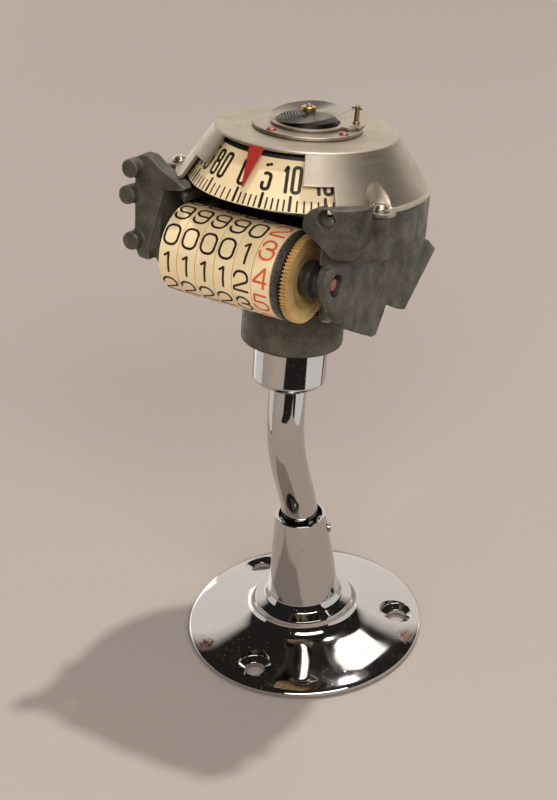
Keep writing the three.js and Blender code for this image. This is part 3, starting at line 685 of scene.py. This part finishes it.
# Each digit as open or closed lines in a box one wide and one high, its middle at the origin. A third
# value is the corner's radius as a share of the width.
GLYPHS = {
    "0": [(True, [(-0.5, -0.5, 0.42), (0.5, -0.5, 0.42), (0.5, 0.5, 0.42), (-0.5, 0.5, 0.42)])],
    "1": [(False, [(-0.20, 0.34), (0.08, 0.5, 0.02), (0.08, -0.5)])],
    "2": [(False, [(-0.5, 0.22), (-0.5, 0.5, 0.42), (0.5, 0.5, 0.45), (0.5, 0.04, 0.3), (-0.5, -0.34, 0.12),
                   (-0.5, -0.5, 0.02), (0.5, -0.5)])],
    "3": [(False, [(-0.46, 0.26), (-0.46, 0.5, 0.4), (0.44, 0.5, 0.42), (0.44, 0.04, 0.3), (-0.12, 0.04)]),
          (False, [(-0.05, 0.04), (0.5, 0.04, 0.34), (0.5, -0.5, 0.45), (-0.5, -0.5, 0.45), (-0.5, -0.22)])],
    "4": [(False, [(0.42, -0.22), (-0.5, -0.22, 0.02), (0.26, 0.5, 0.02), (0.26, -0.5)])],
    "5": [(False, [(0.42, 0.5), (-0.4, 0.5, 0.02), (-0.44, 0.08, 0.04), (0.5, 0.12, 0.42), (0.5, -0.5, 0.45),
                   (-0.5, -0.5, 0.42), (-0.5, -0.26)])],
    "6": [(False, [(0.5, 0.26), (0.5, 0.5, 0.42), (-0.5, 0.5, 0.42), (-0.5, -0.5, 0.42), (0.5, -0.5, 0.42),
                   (0.5, 0.04, 0.42), (-0.46, 0.04)])],
    "7": [(False, [(-0.5, 0.5), (0.5, 0.5, 0.02), (-0.12, -0.5)])],
    "8": [(True, [(-0.44, 0.04, 0.36), (0.44, 0.04, 0.36), (0.44, 0.5, 0.36), (-0.44, 0.5, 0.36)]),
          (True, [(-0.5, -0.5, 0.4), (0.5, -0.5, 0.4), (0.5, 0.04, 0.4), (-0.5, 0.04, 0.4)])],
    "9": [(False, [(-0.5, -0.24), (-0.5, -0.5, 0.38), (0.5, -0.5, 0.42), (0.5, 0.5, 0.34), (-0.5, 0.5, 0.38),
                   (-0.5, -0.04, 0.4), (0.46, -0.04)])],
    "worn 5": [(False, [(-0.38, 0.12), (-0.1, 0.14, 0.1), (0.5, 0.10, 0.42), (0.5, -0.5, 0.45),
                        (-0.5, -0.5, 0.42), (-0.5, -0.26)]),
               (False, [(-0.40, 0.46), (-0.34, 0.46)]), (False, [(0.05, 0.5), (0.09, 0.5)])],
}
INK_LIFT = 0.03
INK_DEPTH = 0.10

# ---------------------------------------------------------------- counter
WHEELS = ["ten_thousands", "thousands", "hundreds", "tens", "units", "tenths"]
# Angle above the front at which each wheel's 0 stands, in degrees.
ZERO_ANGLE = {"ten_thousands": 32, "thousands": 32, "hundreds": 32, "tens": 32, "units": 68.3, "tenths": 151}
DIGIT_PITCH = 36
DIGIT_WIDTH = 4.3
DIGIT_HEIGHT = 5.4
DIGIT_STROKE = 0.60
WHEEL_BORE_R = 1.85
GEAR_TEETH = 72
GEAR_DEPTH = 0.85
GEAR_BORE_R = 4.0
CLIP_BORE_R = 1.7


def number_wheel(name):
    low, high = extent(f"wheel_{name}", DRUM)
    r = high.z
    outline = rounded([
        (WHEEL_BORE_R, low.x), (WHEEL_BORE_R, high.x), (3.5, high.x, 0.15), (3.5, high.x - 1.6),
        (9.6, high.x - 1.6), (9.6, high.x, 0.1), (r, high.x, 0.16), (r, low.x, 0.16),
    ], 3)
    return lathe(f"number_wheel_{name}", outline, 180, "X")


def wheel_digits(name):
    low, high = extent(f"wheel_{name}", DRUM)
    middle, r = (low.x + high.x) / 2, high.z

    def lay(u, v, level, angle):
        turn = angle + v / r
        reach = r + (INK_LIFT if level else -INK_DEPTH)
        return Vector((middle + u, -reach * math.cos(turn), reach * math.sin(turn)))

    digits = Print(lay)
    for digit in range(10):
        angle = math.radians(ZERO_ANGLE[name] - digit * DIGIT_PITCH)
        digits.glyph(str(digit), DIGIT_WIDTH, DIGIT_HEIGHT, DIGIT_STROKE, angle)
    return digits.piece(f"digits_{name}")


for wheel in WHEELS:
    place(number_wheel(wheel), wheel, "cream_enamel", [f"wheel_{wheel}"], DRUM)
    slot, colour = ("red_enamel", RED_INK) if wheel == "tenths" else ("black_enamel", BLACK_INK)
    place(wheel_digits(wheel), wheel, slot, (), DRUM, colour)


def end_ring():
    low, high = extent("drum_end_ring", DRUM)
    outline = rounded([
        (WHEEL_BORE_R, low.x), (WHEEL_BORE_R, 11.5), (6.3, 11.5, 0.1), (6.3, 11.1), (9.6, 11.1, 0.1),
        (9.6, high.x - 0.1, 0.1), (10.0, high.x, 0.1), (high.z, high.x - 0.25, 0.2), (high.z, low.x),
    ], 3)
    return lathe("drum_end_plate", outline, 180, "X")


def gear_outline(teeth, tip_r, depth):
    """Trapezoid teeth with a narrow land at the tip and at the root."""
    outline = []
    for i in range(teeth):
        for along, r in ((0.12, tip_r - depth), (0.40, tip_r), (0.60, tip_r), (0.88, tip_r - depth)):
            turn = TAU * (i + along) / teeth
            outline.append((r * math.cos(turn), r * math.sin(turn)))
    return outline


def drive_gear():
    """Toothed ring with a dished face."""
    low, high = extent("drive_gear", DRUM)
    face = high.x
    wheel = prism("drum_drive_gear", gear_outline(GEAR_TEETH, high.z, GEAR_DEPTH), low.x, face, "X")
    bore = lathe("bore", bar_outline(GEAR_BORE_R, low.x - 1, face + 1), 96, "X")
    dish = lathe("dish", rounded([
        (0, face - 0.95), (5.4, face - 0.95, 0.5), (7.2, face - 0.2, 0.5), (7.5, face + 1), (0, face + 1),
    ]), 160, "X")
    return bevel(combine(wheel, [bore, dish]), 0.05, 1)


def gear_hub():
    low, high = extent("gear_hub", DRUM)
    outline = rounded([
        (WHEEL_BORE_R, low.x), (3.8, low.x), (3.8, 14.8, 0.1), (4.7, 14.8, 0.15), (4.7, 16.4, 0.25),
        (3.1, 16.9, 0.15), (3.1, high.x, 0.1), (WHEEL_BORE_R, high.x),
    ], 3)
    return lathe("gear_hub_sleeve", outline, 128, "X")


place(end_ring(), "tenths", "black_enamel", ["drum_end_ring"], DRUM)
GEAR_BRASS = turned_metal("gear_brass", (0.93, 0.65, 0.27), (0.52, 0.32, 0.11), 0.40, 0.6, metal=0.6)
place(drive_gear(), "tenths", "brass", ["drive_gear"], DRUM, GEAR_BRASS)
place(gear_hub(), "tenths", "black_enamel", ["gear_hub"], DRUM)

ARBOR = sleeve("counter_arbor", "counter_shaft", 0, (0.3, 0.3), DRUM, steps=3, along="X")
ARBOR_CLIP = sleeve("arbor_clip", "shaft_clip", CLIP_BORE_R, (0.15, 0.15), DRUM, steps=3, along="X")
place(ARBOR, "movement", "copper", ["counter_shaft"], DRUM)
place(ARBOR_CLIP, "movement", "brass", ["shaft_clip"], DRUM)

# ---------------------------------------------------------------- dial
CONE_SLOPE = 0.655  # radius lost for each mm up
SLANT = math.hypot(1, CONE_SLOPE)
DIAL_LOW, DIAL_HIGH = extent("dial_drum")
DIAL_R = DIAL_HIGH.x
DIAL_SHEET = 0.55
ZERO_AZIMUTH = -4.94
CREAM_TOP_Z = 51.8  # the sheet is painted black above this: painted shade of the gap under the cover's window edge
# Degrees of dial for every five miles an hour, from 0 to 80.
SCALE_STEPS = [14.6, 14.6, 17.5, 20.5, 22.5, 24, 24.8, 25, 25, 24.8, 24.5, 24, 22.9, 21, 18.5, 16.5]
MINORS_PAST_ZERO = 4  # graduations in the gap between 80 and 0
MAJOR_TICK = {"length": 3.75, "width": 0.72}
MINOR_TICK = {"length": 2.9, "width": 0.42}
TICK_START = 0.25
NARROW_ONE = 1.1
NUMERAL = {"width": 2.5, "height": 6.8, "stroke": 0.82, "middle": 7.85, "gap": 0.62}


def on_dial(u, v, level, azimuth):
    """A point on the dial's cone: u mm to the viewer's right, v mm up its slant."""
    outward = INK_LIFT if level else -INK_DEPTH
    r = DIAL_R - v * CONE_SLOPE / SLANT + outward / SLANT
    z = DIAL_LOW.z + v / SLANT + outward * CONE_SLOPE / SLANT
    turn = math.radians(azimuth) + u / r
    return Vector((r * math.sin(turn), -r * math.cos(turn), z))


def dial_drum():
    top_z = DIAL_HIGH.z
    top_r = DIAL_R - (top_z - DIAL_LOW.z) * CONE_SLOPE
    wall = DIAL_SHEET * 1.2
    outline = rounded([
        (DIAL_R - wall, DIAL_LOW.z), (DIAL_R, DIAL_LOW.z, 0.15), (top_r, top_z, 0.45), (19, top_z),
        (19, top_z - DIAL_SHEET), (top_r - wall, top_z - DIAL_SHEET, 0.3),
    ], 4)
    return lathe("dial_shell", outline, 240)


def dial_print():
    """Graduations and numerals. A mark's place is its azimuth and how far up the slant it is moved."""
    marks = Print(lambda u, v, level, at: on_dial(u, v + at[1], level, at[0]))
    azimuth = ZERO_AZIMUTH
    majors = [azimuth]
    for span in SCALE_STEPS:
        for minor in range(1, 5):
            draw_tick(marks, MINOR_TICK, azimuth + span * minor / 5)
        azimuth += span
        majors.append(azimuth)
    gap = ZERO_AZIMUTH + 360 - azimuth
    for minor in range(1, MINORS_PAST_ZERO + 1):
        draw_tick(marks, MINOR_TICK, azimuth + gap * minor / (MINORS_PAST_ZERO + 1))
    for major in majors:
        draw_tick(marks, MAJOR_TICK, major)
    for five, major in enumerate(majors):
        draw_number(marks, 5 * five, major)
    return marks.piece("dial_print")


def draw_tick(marks, tick, azimuth):
    start, end = TICK_START + tick["width"] / 2, tick["length"]
    marks.line([Vector((0, start)), Vector((0, end))], tick["width"], (azimuth, 0.0))


def draw_number(marks, value, azimuth):
    """Numerals side by side, centred on their graduation. The 1 is narrower than the rest."""
    text = str(value)
    at = (azimuth, NUMERAL["middle"])
    widths = [NARROW_ONE if digit == "1" else NUMERAL["width"] for digit in text]
    total = sum(widths) + NUMERAL["gap"] * (len(text) - 1)
    left = -total / 2
    for digit, width in zip(text, widths):
        shape = "worn 5" if value == 5 else digit
        marks.glyph(shape, NUMERAL["width"], NUMERAL["height"], NUMERAL["stroke"], at, left + width / 2)
        left += width + NUMERAL["gap"]


# The dial's sheet is painted black above CREAM_TOP_Z: painted shade under the cover's window edge.
place(dial_drum(), "dial", "cream_enamel", ["dial_drum"],
      finish=cream_enamel("dial_enamel", CREAM_TOP_Z))
place(dial_print(), "dial", "black_enamel", finish=BLACK_INK)

# ---------------------------------------------------------------- cover
COVER_LOW = extent("top_cover")[0]
DISC_LOW, DISC_HIGH = extent("bearing_disc")
COVER_SHEET = 0.8
COVER_COLUMNS = 600
FLANGE_ROWS = 6
WINDOW_NARROW = 30.0  # half width in degrees, over the numerals
WINDOW_WIDE = 45.6  # half width in degrees, over the graduations
WINDOW_STEP_Z = 47.6
WINDOW_TOP_Z = 53.7
WINDOW_TOP_R = 21.9
COVER_FLANGE_R = 30.7
COVER_CONE_TOP = (22.04, 54.3)  # radius and height, before its edge is rounded
COVER_CONE_FROM_Z = 43.4
COVER_SHOULDER_Z = 53.45
COVER_FLAT_R = 20.5
COVER_HOLE_R = 9.2
EAR_R = 3.5
DIMPLE = (2.7, 3.8)  # flat out to the first radius, faded out at the second
DIMPLE_BELOW_Z = 48
FOOT_SCREWS = [extent(f"cover_screw_{side}") for side in ("right", "left", "rear")]
SCREW_PLACES = [(low + high) / 2 for low, high in FOOT_SCREWS]


def cover_rows():
    """Radius and height of each row of the outer skin, from the flange's edge to the hole in the top."""
    flange_z = COVER_LOW.z + COVER_SHEET
    cone_r, top_z = COVER_CONE_TOP
    foot_r = cone_r + (top_z - flange_z) * CONE_SLOPE

    def on_cone(z):
        return cone_r + (top_z - z) * CONE_SLOPE, z

    corner = [(COVER_FLANGE_R, flange_z), (foot_r, flange_z, 0.9), on_cone(WINDOW_STEP_Z)]
    in_step = (foot_r + 0.8 - COVER_FLANGE_R) / FLANGE_ROWS
    rows = [(COVER_FLANGE_R + in_step * k, flange_z) for k in range(FLANGE_ROWS)]
    rows += rounded(corner, 6)[1:-1]
    rows += [on_cone(COVER_CONE_FROM_Z + (WINDOW_STEP_Z - COVER_CONE_FROM_Z) * k / 14) for k in range(15)]
    rows += [on_cone(WINDOW_STEP_Z + (COVER_SHOULDER_Z - WINDOW_STEP_Z) * k / 18) for k in range(1, 19)]
    shoulder = [on_cone(WINDOW_STEP_Z), (cone_r, top_z, 1.0), (COVER_HOLE_R, top_z)]
    rows += rounded(shoulder, 8)[1:-1]
    rows += [(COVER_FLAT_R + (COVER_HOLE_R - COVER_FLAT_R) * k / 14, top_z) for k in range(15)]
    return rows


def ear_reach(azimuth):
    """Radius of the flange's edge, which bulges round each foot screw."""
    reach = COVER_FLANGE_R
    for spot in SCREW_PLACES:
        away = azimuth - math.atan2(spot.x, -spot.y)
        distance = math.hypot(spot.x, spot.y)
        across = distance * math.sin(away)
        if abs(across) < EAR_R and math.cos(away) > 0:
            reach = max(reach, distance * math.cos(away) + math.sqrt(EAR_R ** 2 - across ** 2))
    return reach


def top_cover():
    """Pressed sheet cover: flange, cone, rounded shoulder and flat top, with a stepped window in front."""
    rows = cover_rows()
    flange_z = COVER_LOW.z + COVER_SHEET
    verts, faces = [], []
    for column in range(COVER_COLUMNS):
        azimuth = TAU * column / COVER_COLUMNS
        reach = ear_reach(azimuth)
        for i, (r, z) in enumerate(rows):
            if i < FLANGE_ROWS:
                r += (reach - COVER_FLANGE_R) * (1 - i / FLANGE_ROWS)
            x, y = r * math.sin(azimuth), -r * math.cos(azimuth)
            for spot in SCREW_PLACES:
                away = math.hypot(x - spot.x, y - spot.y)
                if z < DIMPLE_BELOW_Z and away < DIMPLE[1]:
                    z += (flange_z - z) * (1 - smoothstep(*DIMPLE, away))
            verts.append((x, y, z))
    count = len(rows)
    for column in range(COVER_COLUMNS):
        degrees = (360 * (column + 0.5) / COVER_COLUMNS + 180) % 360 - 180
        ahead = (column + 1) % COVER_COLUMNS
        for i in range(count - 1):
            z = (rows[i][1] + rows[i + 1][1]) / 2
            wide = abs(degrees) < WINDOW_WIDE and z < WINDOW_STEP_Z
            on_cone = WINDOW_STEP_Z < z < WINDOW_TOP_Z and rows[i][0] > WINDOW_TOP_R
            narrow = abs(degrees) < WINDOW_NARROW and on_cone
            if not (wide or narrow):
                a, b = column * count + i, ahead * count + i
                faces.append((a, b, b + 1, a + 1))
    skin = new_piece("cover_shell", verts, faces)
    shape = bmesh.new()
    shape.from_mesh(skin.data)
    loose = [vertex for vertex in shape.verts if not vertex.link_faces]
    bmesh.ops.delete(shape, geom=loose, context="VERTS")
    if sum(face.normal.z for face in shape.faces) < 0:
        bmesh.ops.reverse_faces(shape, faces=shape.faces)
    shape.to_mesh(skin.data)
    shape.free()
    shell = skin.modifiers.new("sheet", "SOLIDIFY")
    shell.thickness, shell.offset, shell.use_even_offset = COVER_SHEET, -1, True
    apply_modifiers(skin)
    return bevel(skin, 0.14, 2, 50)


place(top_cover(), "movement", "nickel_plate", ["top_cover"])


POINTER_SHEET = 0.42
POINTER_SINK = 0.3
POINTER_TOP_Z = 54.05
POINTER_HALF = 1.95
POINTER_TIP_HALF = 0.12
POINTER_CURVE = 0.5  # how far it bends round the cone, as a share of the cone's own curve
POINTER_SKEW = 0.1
POINTER_START = 0.3


def pointer():
    """Flat red triangle that hangs across the window in the plane of the cone."""
    tip = extent("pointer")[0]

    def on_cover(u, v, level):
        cone_r, top_z = COVER_CONE_TOP
        out = level * POINTER_SHEET - POINTER_SINK
        r = cone_r + v * CONE_SLOPE / SLANT + out / SLANT
        z = top_z - v / SLANT + out * CONE_SLOPE / SLANT
        return Vector((u, -r + u * u / (2 * r) * POINTER_CURVE, z))

    length = (POINTER_TOP_Z - tip.z) * SLANT
    across, down = 12, 30
    verts, faces = [], []
    for level in (0, 1):
        for j in range(down + 1):
            share = j / down
            for i in range(across + 1):
                side = i / across * 2 - 1
                half = POINTER_HALF * (1 - share) + POINTER_TIP_HALF * share
                u = side * half + POINTER_SKEW * share - POINTER_SKEW / 2
                verts.append(on_cover(u, POINTER_START + share * length, level))
    row, layer = across + 1, (across + 1) * (down + 1)
    for j in range(down):
        for i in range(across):
            a = j * row + i
            faces.append((a, a + 1, a + row + 1, a + row))
            faces.append((layer + a, layer + a + row, layer + a + row + 1, layer + a + 1))
        for a, b in ((j * row, (j + 1) * row), (j * row + across, (j + 1) * row + across)):
            faces.append((a, b, layer + b, layer + a))
    for i in range(across):
        for a in (i, down * row + i):
            faces.append((a, a + 1, layer + a + 1, layer + a))
    return bevel(new_piece("pointer_blade", verts, faces), 0.07, 2, 50)


place(pointer(), "movement", "red_enamel", ["pointer"])


def foot_screw(side, low, high, slot_turn):
    """Round-headed slotted screw."""
    middle = (low + high) / 2
    head_r, top = (high.x - low.x) / 2, high.z
    seat = COVER_LOW.z + COVER_SHEET + 0.05
    outline = rounded([
        (0, low.z), (0.95, low.z, 0.2), (0.95, seat), (head_r, seat, 0.1), (head_r, seat + 0.75, 0.5),
        (1.15, top - 0.1, 0.8), (0, top),
    ], 5)
    screw = lathe(f"foot_screw_{side}", outline, 96)
    slot = block("slot", (-3, 3), (-0.27, 0.27), top - 0.8, top + 1)
    slot.data.transform(Matrix.Rotation(slot_turn, 4, "Z"))
    bevel(combine(screw, [slot]), 0.05, 1, 40)
    screw.data.transform(Matrix.Translation((middle.x, middle.y, 0)))
    return screw


for side, (low, high), slot_turn in zip(("right", "left", "rear"), FOOT_SCREWS, (0.5, -0.7, 1.2)):
    place(foot_screw(side, low, high, slot_turn), "movement", "screw_steel", [f"cover_screw_{side}"])


# ---------------------------------------------------------------- bearing disc, hairspring and regulator
DISC_SHEET = 0.85
BOSS_R = 7.4


def bearing_disc():
    r, low, top, boss_top = DISC_HIGH.x, DISC_LOW.z, DISC_LOW.z + DISC_SHEET, DISC_HIGH.z
    outline = rounded([
        (1.1, low), (r, low, 0.1), (r, top, 0.3), (9.6, top - 0.1, 0.3), (BOSS_R, top + 0.05, 0.3),
        (6.9, boss_top, 0.35), (2.2, boss_top, 0.2), (2.0, boss_top - 0.5, 0.1), (1.1, boss_top - 0.5),
    ], 5)
    return lathe("bearing_plate", outline, 200)


def rivet(index):
    low, high = extent(f"disc_rivet_{index}")
    middle = (low + high) / 2
    seat = DISC_LOW.z + DISC_SHEET
    outline = rounded([
        (0, low.z), (1.1, low.z, 0.2), (1.1, low.z + 0.5), (0.65, low.z + 0.5), (0.65, seat), (1.15, seat),
        (1.15, seat + 0.25, 0.2), (0.6, seat + 0.5, 0.5), (0, seat + 0.52),
    ], 4)
    piece = lathe(f"plate_rivet_{index}", outline, 48)
    piece.data.transform(Matrix.Translation((middle.x, middle.y, 0)))
    return piece


# The boss under the hairspring is painted near black: painted shade under the spring.
DISC_NICKEL = turned_metal("disc_nickel", *NICKEL, painted_shade_within=BOSS_R)
place(bearing_disc(), "movement", "nickel_plate", ["bearing_disc"], finish=DISC_NICKEL)
for index in (1, 2, 3):
    place(rivet(index), "movement", "copper", [f"disc_rivet_{index}"])

POST_LOW, POST_HIGH = extent("regulator_post")
POST = (POST_LOW + POST_HIGH) / 2
ARM_LOW, ARM_HIGH = extent("regulator_arm")
ARM_R = (7.75, 8.9)
SPRING_TURNS = 10
SPRING_R = (2.0, 8.3)
SPRING_Z = 58.1
SPRING_RISE = 0.17  # for each mm of radius
SPRING_HIGH_SIDE = math.radians(58)
SPRING_SHEET = (0.13, 0.17)  # thickness and height
SPRING_START = -0.4  # angle of the inner end
SPRING_DRIFT = 0.13  # how far the coils' middle moves left for each mm of radius, and half as far forward
SPRING_LEAD = 3.0
SPRING_END = (-0.75, -0.5, -0.7)  # from the top of the post


def hairspring():
    """Flat spiral tilted up towards the regulator post, its outer end led across to the post."""
    points = []
    per_turn = 48
    for i in range(SPRING_TURNS * per_turn + 1):
        turn = i / per_turn * TAU + SPRING_START
        r = SPRING_R[0] + (SPRING_R[1] - SPRING_R[0]) * i / (SPRING_TURNS * per_turn)
        z = SPRING_Z + SPRING_RISE * r * math.cos(turn - SPRING_HIGH_SIDE)
        drift = (r - SPRING_R[0]) * SPRING_DRIFT
        points.append(Vector((r * math.cos(turn) - drift, r * math.sin(turn) - drift * 0.5, z)))
    end = Vector([at + away for at, away in zip((POST.x, POST.y, POST_HIGH.z), SPRING_END)])
    start, ahead = points[-1], (points[-1] - points[-2]).normalized()
    bend = start + ahead * SPRING_LEAD
    for k in range(1, 13):
        share = k / 12
        points.append(start.lerp(bend, share).lerp(bend.lerp(end, share), share))
    half, rise = SPRING_SHEET[0] / 2, SPRING_SHEET[1] / 2
    section = [(-half, -rise), (half, -rise), (half, rise), (-half, rise)]
    return sweep("spiral_hairspring", points, section, UP)


def regulator_arm():
    """Ring round the disc's boss, with a slotted tab that carries the post."""
    bore, outer = ARM_R
    low, high = ARM_LOW.z, ARM_HIGH.z
    outline = rounded([(bore, low), (outer, low), (outer, high, 0.1), (bore, high, 0.1)], 3)
    band = lathe("regulator_band", outline, 160)
    tab = prism("tab", rounded([
        (7.4, 1.0), (10.6, 0.9, 0.6), (12.4, 3, 0.8), (11.9, 6.8, 1.2), (9.6, 8.2, 1.0), (6.2, 6.6),
    ]), low, high)
    slots = [
        block("slot", (9.8, 14), (2.35, 2.8), low - 1, high + 1),
        block("slot", (10.7, 14), (4.5, 4.95), low - 1, high + 1),
        lathe("bore", bar_outline(bore, low - 1, high + 1), 96),
    ]
    combine(tab, slots)
    return bevel(combine(band, [tab], "UNION"), 0.07, 2, 50)


def regulator_post():
    r, low, top = (POST_HIGH.x - POST_LOW.x) / 2, POST_LOW.z, POST_HIGH.z
    outline = rounded([
        (0, low), (r + 0.25, low), (r + 0.25, low + 0.9, 0.1), (r, low + 1.0, 0.1), (r, top, 0.2), (0, top),
    ], 3)
    post = lathe("spring_post", outline, 64)
    slot = block("slot", (-2, 2), (-0.18, 0.18), top - 1, top + 1)
    combine(post, [slot])
    post.data.transform(Matrix.Translation((POST.x, POST.y, 0)))
    return post


def taper_pin():
    low, high = extent("taper_pin")
    z = (low.z + high.z) / 2
    path = [Vector((low.x + (high.x - low.x) * k / 8, POST.y, z)) for k in range(9)]
    return sweep("post_pin", path, circle(0.2, 16), UP)


place(hairspring(), "regulator", "blued_steel", ["hairspring"])
place(regulator_arm(), "regulator", "nickel_plate", ["regulator_arm"])
AGED_BRASS = turned_metal("aged_brass", (0.42, 0.31, 0.16), (0.14, 0.10, 0.06), 0.36, 0.5)
place(regulator_post(), "regulator", "brass", ["regulator_post"], finish=AGED_BRASS)
place(taper_pin(), "regulator", "brass", ["taper_pin"], finish=AGED_BRASS)


def spindle():
    low, high = extent("dial_spindle")
    outline = rounded([
        (0, low.z), (0.8, low.z, 0.1), (0.8, high.z - 0.5, 0.1), (0.35, high.z, 0.2), (0, high.z),
    ])
    return lathe("spindle", outline, 48)


COLLET = sleeve("spring_collet", "hairspring_collet", 0.9, (0.2, 0.3), segments=64)
place(COLLET, "dial", "brass", ["hairspring_collet"])
place(spindle(), "dial", "shaft_steel", ["dial_spindle"])

# ---------------------------------------------------------------- inner works, kept as CAD solids
INNER = {
    "bronze": ["drive_bush", "worm_wheel"],
    "shaft_steel": [
        "drive_shaft", "worm", "magnet", "field_cup", "cross_shaft", "pinion_shaft", "drive_pinion",
    ],
    "brass": [f"transfer_pinion_{i}" for i in range(1, 6)],
    "aluminium": ["dial_spider", "speed_cup"],
}
# The transfer pinions are brass painted near black: painted shade of the dark space between the dial and the
# drum.
PAINTED_SHADE_BRASS = turned_metal("painted_shade_brass", (0.07, 0.05, 0.025), (0.03, 0.022, 0.012), 0.5, 0.4)
for slot, names in INNER.items():
    for name in names:
        node = frame["nodes"][name]
        node.data.materials.clear()
        node.data.materials.append(PAINTED_SHADE_BRASS if slot == "brass" else FINISHES[slot])
        edge = node.modifiers.new("edge", "BEVEL")
        edge.width, edge.segments = 0.08 * MM, 2

# ---------------------------------------------------------------- stage, lights and camera
CAMERA_AT = Vector((218.7, -340.1, 327.0)) * MM
CAMERA_AHEAD = Vector((-0.4656, 0.7066, -0.5329)).normalized()
CAMERA_ROLL = math.radians(2.48)
CAMERA_LENS = 84.65
LEVEL_AHEAD = Vector((CAMERA_AHEAD.x, CAMERA_AHEAD.y, 0)).normalized()
KEY_FROM = Vector((0.094, 0.305, 0.948))
AIM = Vector((0, 0, 70)) * MM
VIEW_TURN = math.atan2(-CAMERA_AHEAD.x, CAMERA_AHEAD.y)  # turns +Y to the way the camera looks
WIDE_FLOOR = (-3.0, 3.0), (-3.0, 3.0)  # left and right, then front and back edge, in m
NEAR_FLOOR = [((-0.13, 0.12), (-0.22, 1.0)), ((-0.9, -0.13), (-0.9, 0.0))]
NEAR_FLOOR_TOP = -0.0002
WIDE_FLOOR_TOP = -0.0002 - 0.00002
FLOOR_BOTTOM = -0.01
LAMP_COLOUR = (1.0, 0.97, 0.93)
FILL_LIGHT = (0.20, 0.195, 0.19)
DARK_ROOM = (0.022, 0.020, 0.018)
BACKDROP = (1.03, 0.95, 0.89)
BACKDROP_TOP = math.sin(math.radians(45))
BACKDROP_EDGE = (0.56, 0.70)  # how squarely behind the object a direction is, where the backdrop fades in


def floor():
    """A wide paper floor. Bright metal reflects only the two sheets nearest to the object."""
    paper = floor_paper()
    for i, (x, y) in enumerate((WIDE_FLOOR, *NEAR_FLOOR)):
        top = WIDE_FLOOR_TOP if i == 0 else NEAR_FLOOR_TOP
        sheet = block(f"floor_{i}", x, y, FLOOR_BOTTOM, top)
        sheet.data.materials.append(paper)
        sheet.matrix_world = Matrix.Rotation(VIEW_TURN, 4, "Z")
        sheet.visible_glossy = i > 0


def camera():
    """Makes the scene's camera and returns the direction to its right."""
    right = CAMERA_AHEAD.cross(UP).normalized()
    up = right.cross(CAMERA_AHEAD)
    level = Matrix((right, up, -CAMERA_AHEAD)).transposed().to_4x4()
    lens = bpy.data.cameras.new("camera")
    lens.lens, lens.clip_start = CAMERA_LENS, 0.01
    seen = bpy.data.objects.new("camera", lens)
    bpy.context.scene.collection.objects.link(seen)
    seen.matrix_world = Matrix.Translation(CAMERA_AT) @ level @ Matrix.Rotation(-CAMERA_ROLL, 4, "Z")
    bpy.context.scene.camera = seen
    return right


def softbox(name, direction, distance, width, height, power, reflected=True):
    """A rectangular light that faces the object. One that isn't reflected lights matt surfaces only."""
    lamp = bpy.data.lights.new(name, "AREA")
    lamp.shape, lamp.size, lamp.size_y, lamp.energy = "RECTANGLE", width, height, power
    lamp.color = LAMP_COLOUR
    light = bpy.data.objects.new(name, lamp)
    bpy.context.scene.collection.objects.link(light)
    towards = Vector(direction).normalized()
    light.location = AIM + towards * distance
    light.visible_glossy = reflected
    light.rotation_mode = "QUATERNION"
    light.rotation_quaternion = (-towards).to_track_quat("-Z", "Y")


def studio():
    """Even fill light for matt surfaces; bright metal reflects a lit backdrop and a dark room."""
    world = bpy.data.worlds.new("studio")
    world.use_nodes = True
    room = Nodes(world.node_tree)
    towards = room.node("ShaderNodeTexCoord", {}).outputs["Generated"]
    height = room.split(towards)[2]
    inputs = {0: towards, 1: LEVEL_AHEAD}
    behind = room.node("ShaderNodeVectorMath", inputs, operation="DOT_PRODUCT").outputs["Value"]
    below_top = room.spread(height, BACKDROP_TOP + 0.02, BACKDROP_TOP - 0.02)
    lit = room.times(below_top, room.spread(behind, *BACKDROP_EDGE))
    reflected = room.mix(lit, DARK_ROOM, BACKDROP)
    is_reflection = room.node("ShaderNodeLightPath", {}).outputs["Is Glossy Ray"]
    colour = room.mix(is_reflection, FILL_LIGHT, reflected)
    room.feed(room.tree.nodes["Background"].inputs["Color"], colour)
    bpy.context.scene.world = world
    bpy.context.scene.view_settings.view_transform = "Standard"


floor()
CAMERA_RIGHT = camera()
LOW = UP * -0.19
softbox("key", KEY_FROM, 3, 0.10, 0.10, 50)
softbox("low_left", -CAMERA_RIGHT * 0.85 + LEVEL_AHEAD * 0.6 + LOW, 0.5, 0.8, 0.36, 0.8)
softbox("low_right", CAMERA_RIGHT + LOW, 0.45, 0.8, 0.36, 0.8)
softbox("front_wide", -LEVEL_AHEAD * 0.75 + CAMERA_RIGHT * 0.12 + UP * 0.72, 1.2, 1.0, 0.4, 8.6)
softbox("back_right", LEVEL_AHEAD * 0.55 + CAMERA_RIGHT * 0.22 + UP * 0.85, 0.9, 0.26, 0.24, 0.42)
softbox("front_fill", (-0.3, -1.0, 0.35), 0.6, 0.3, 0.3, 0.45, reflected=False)
studio()
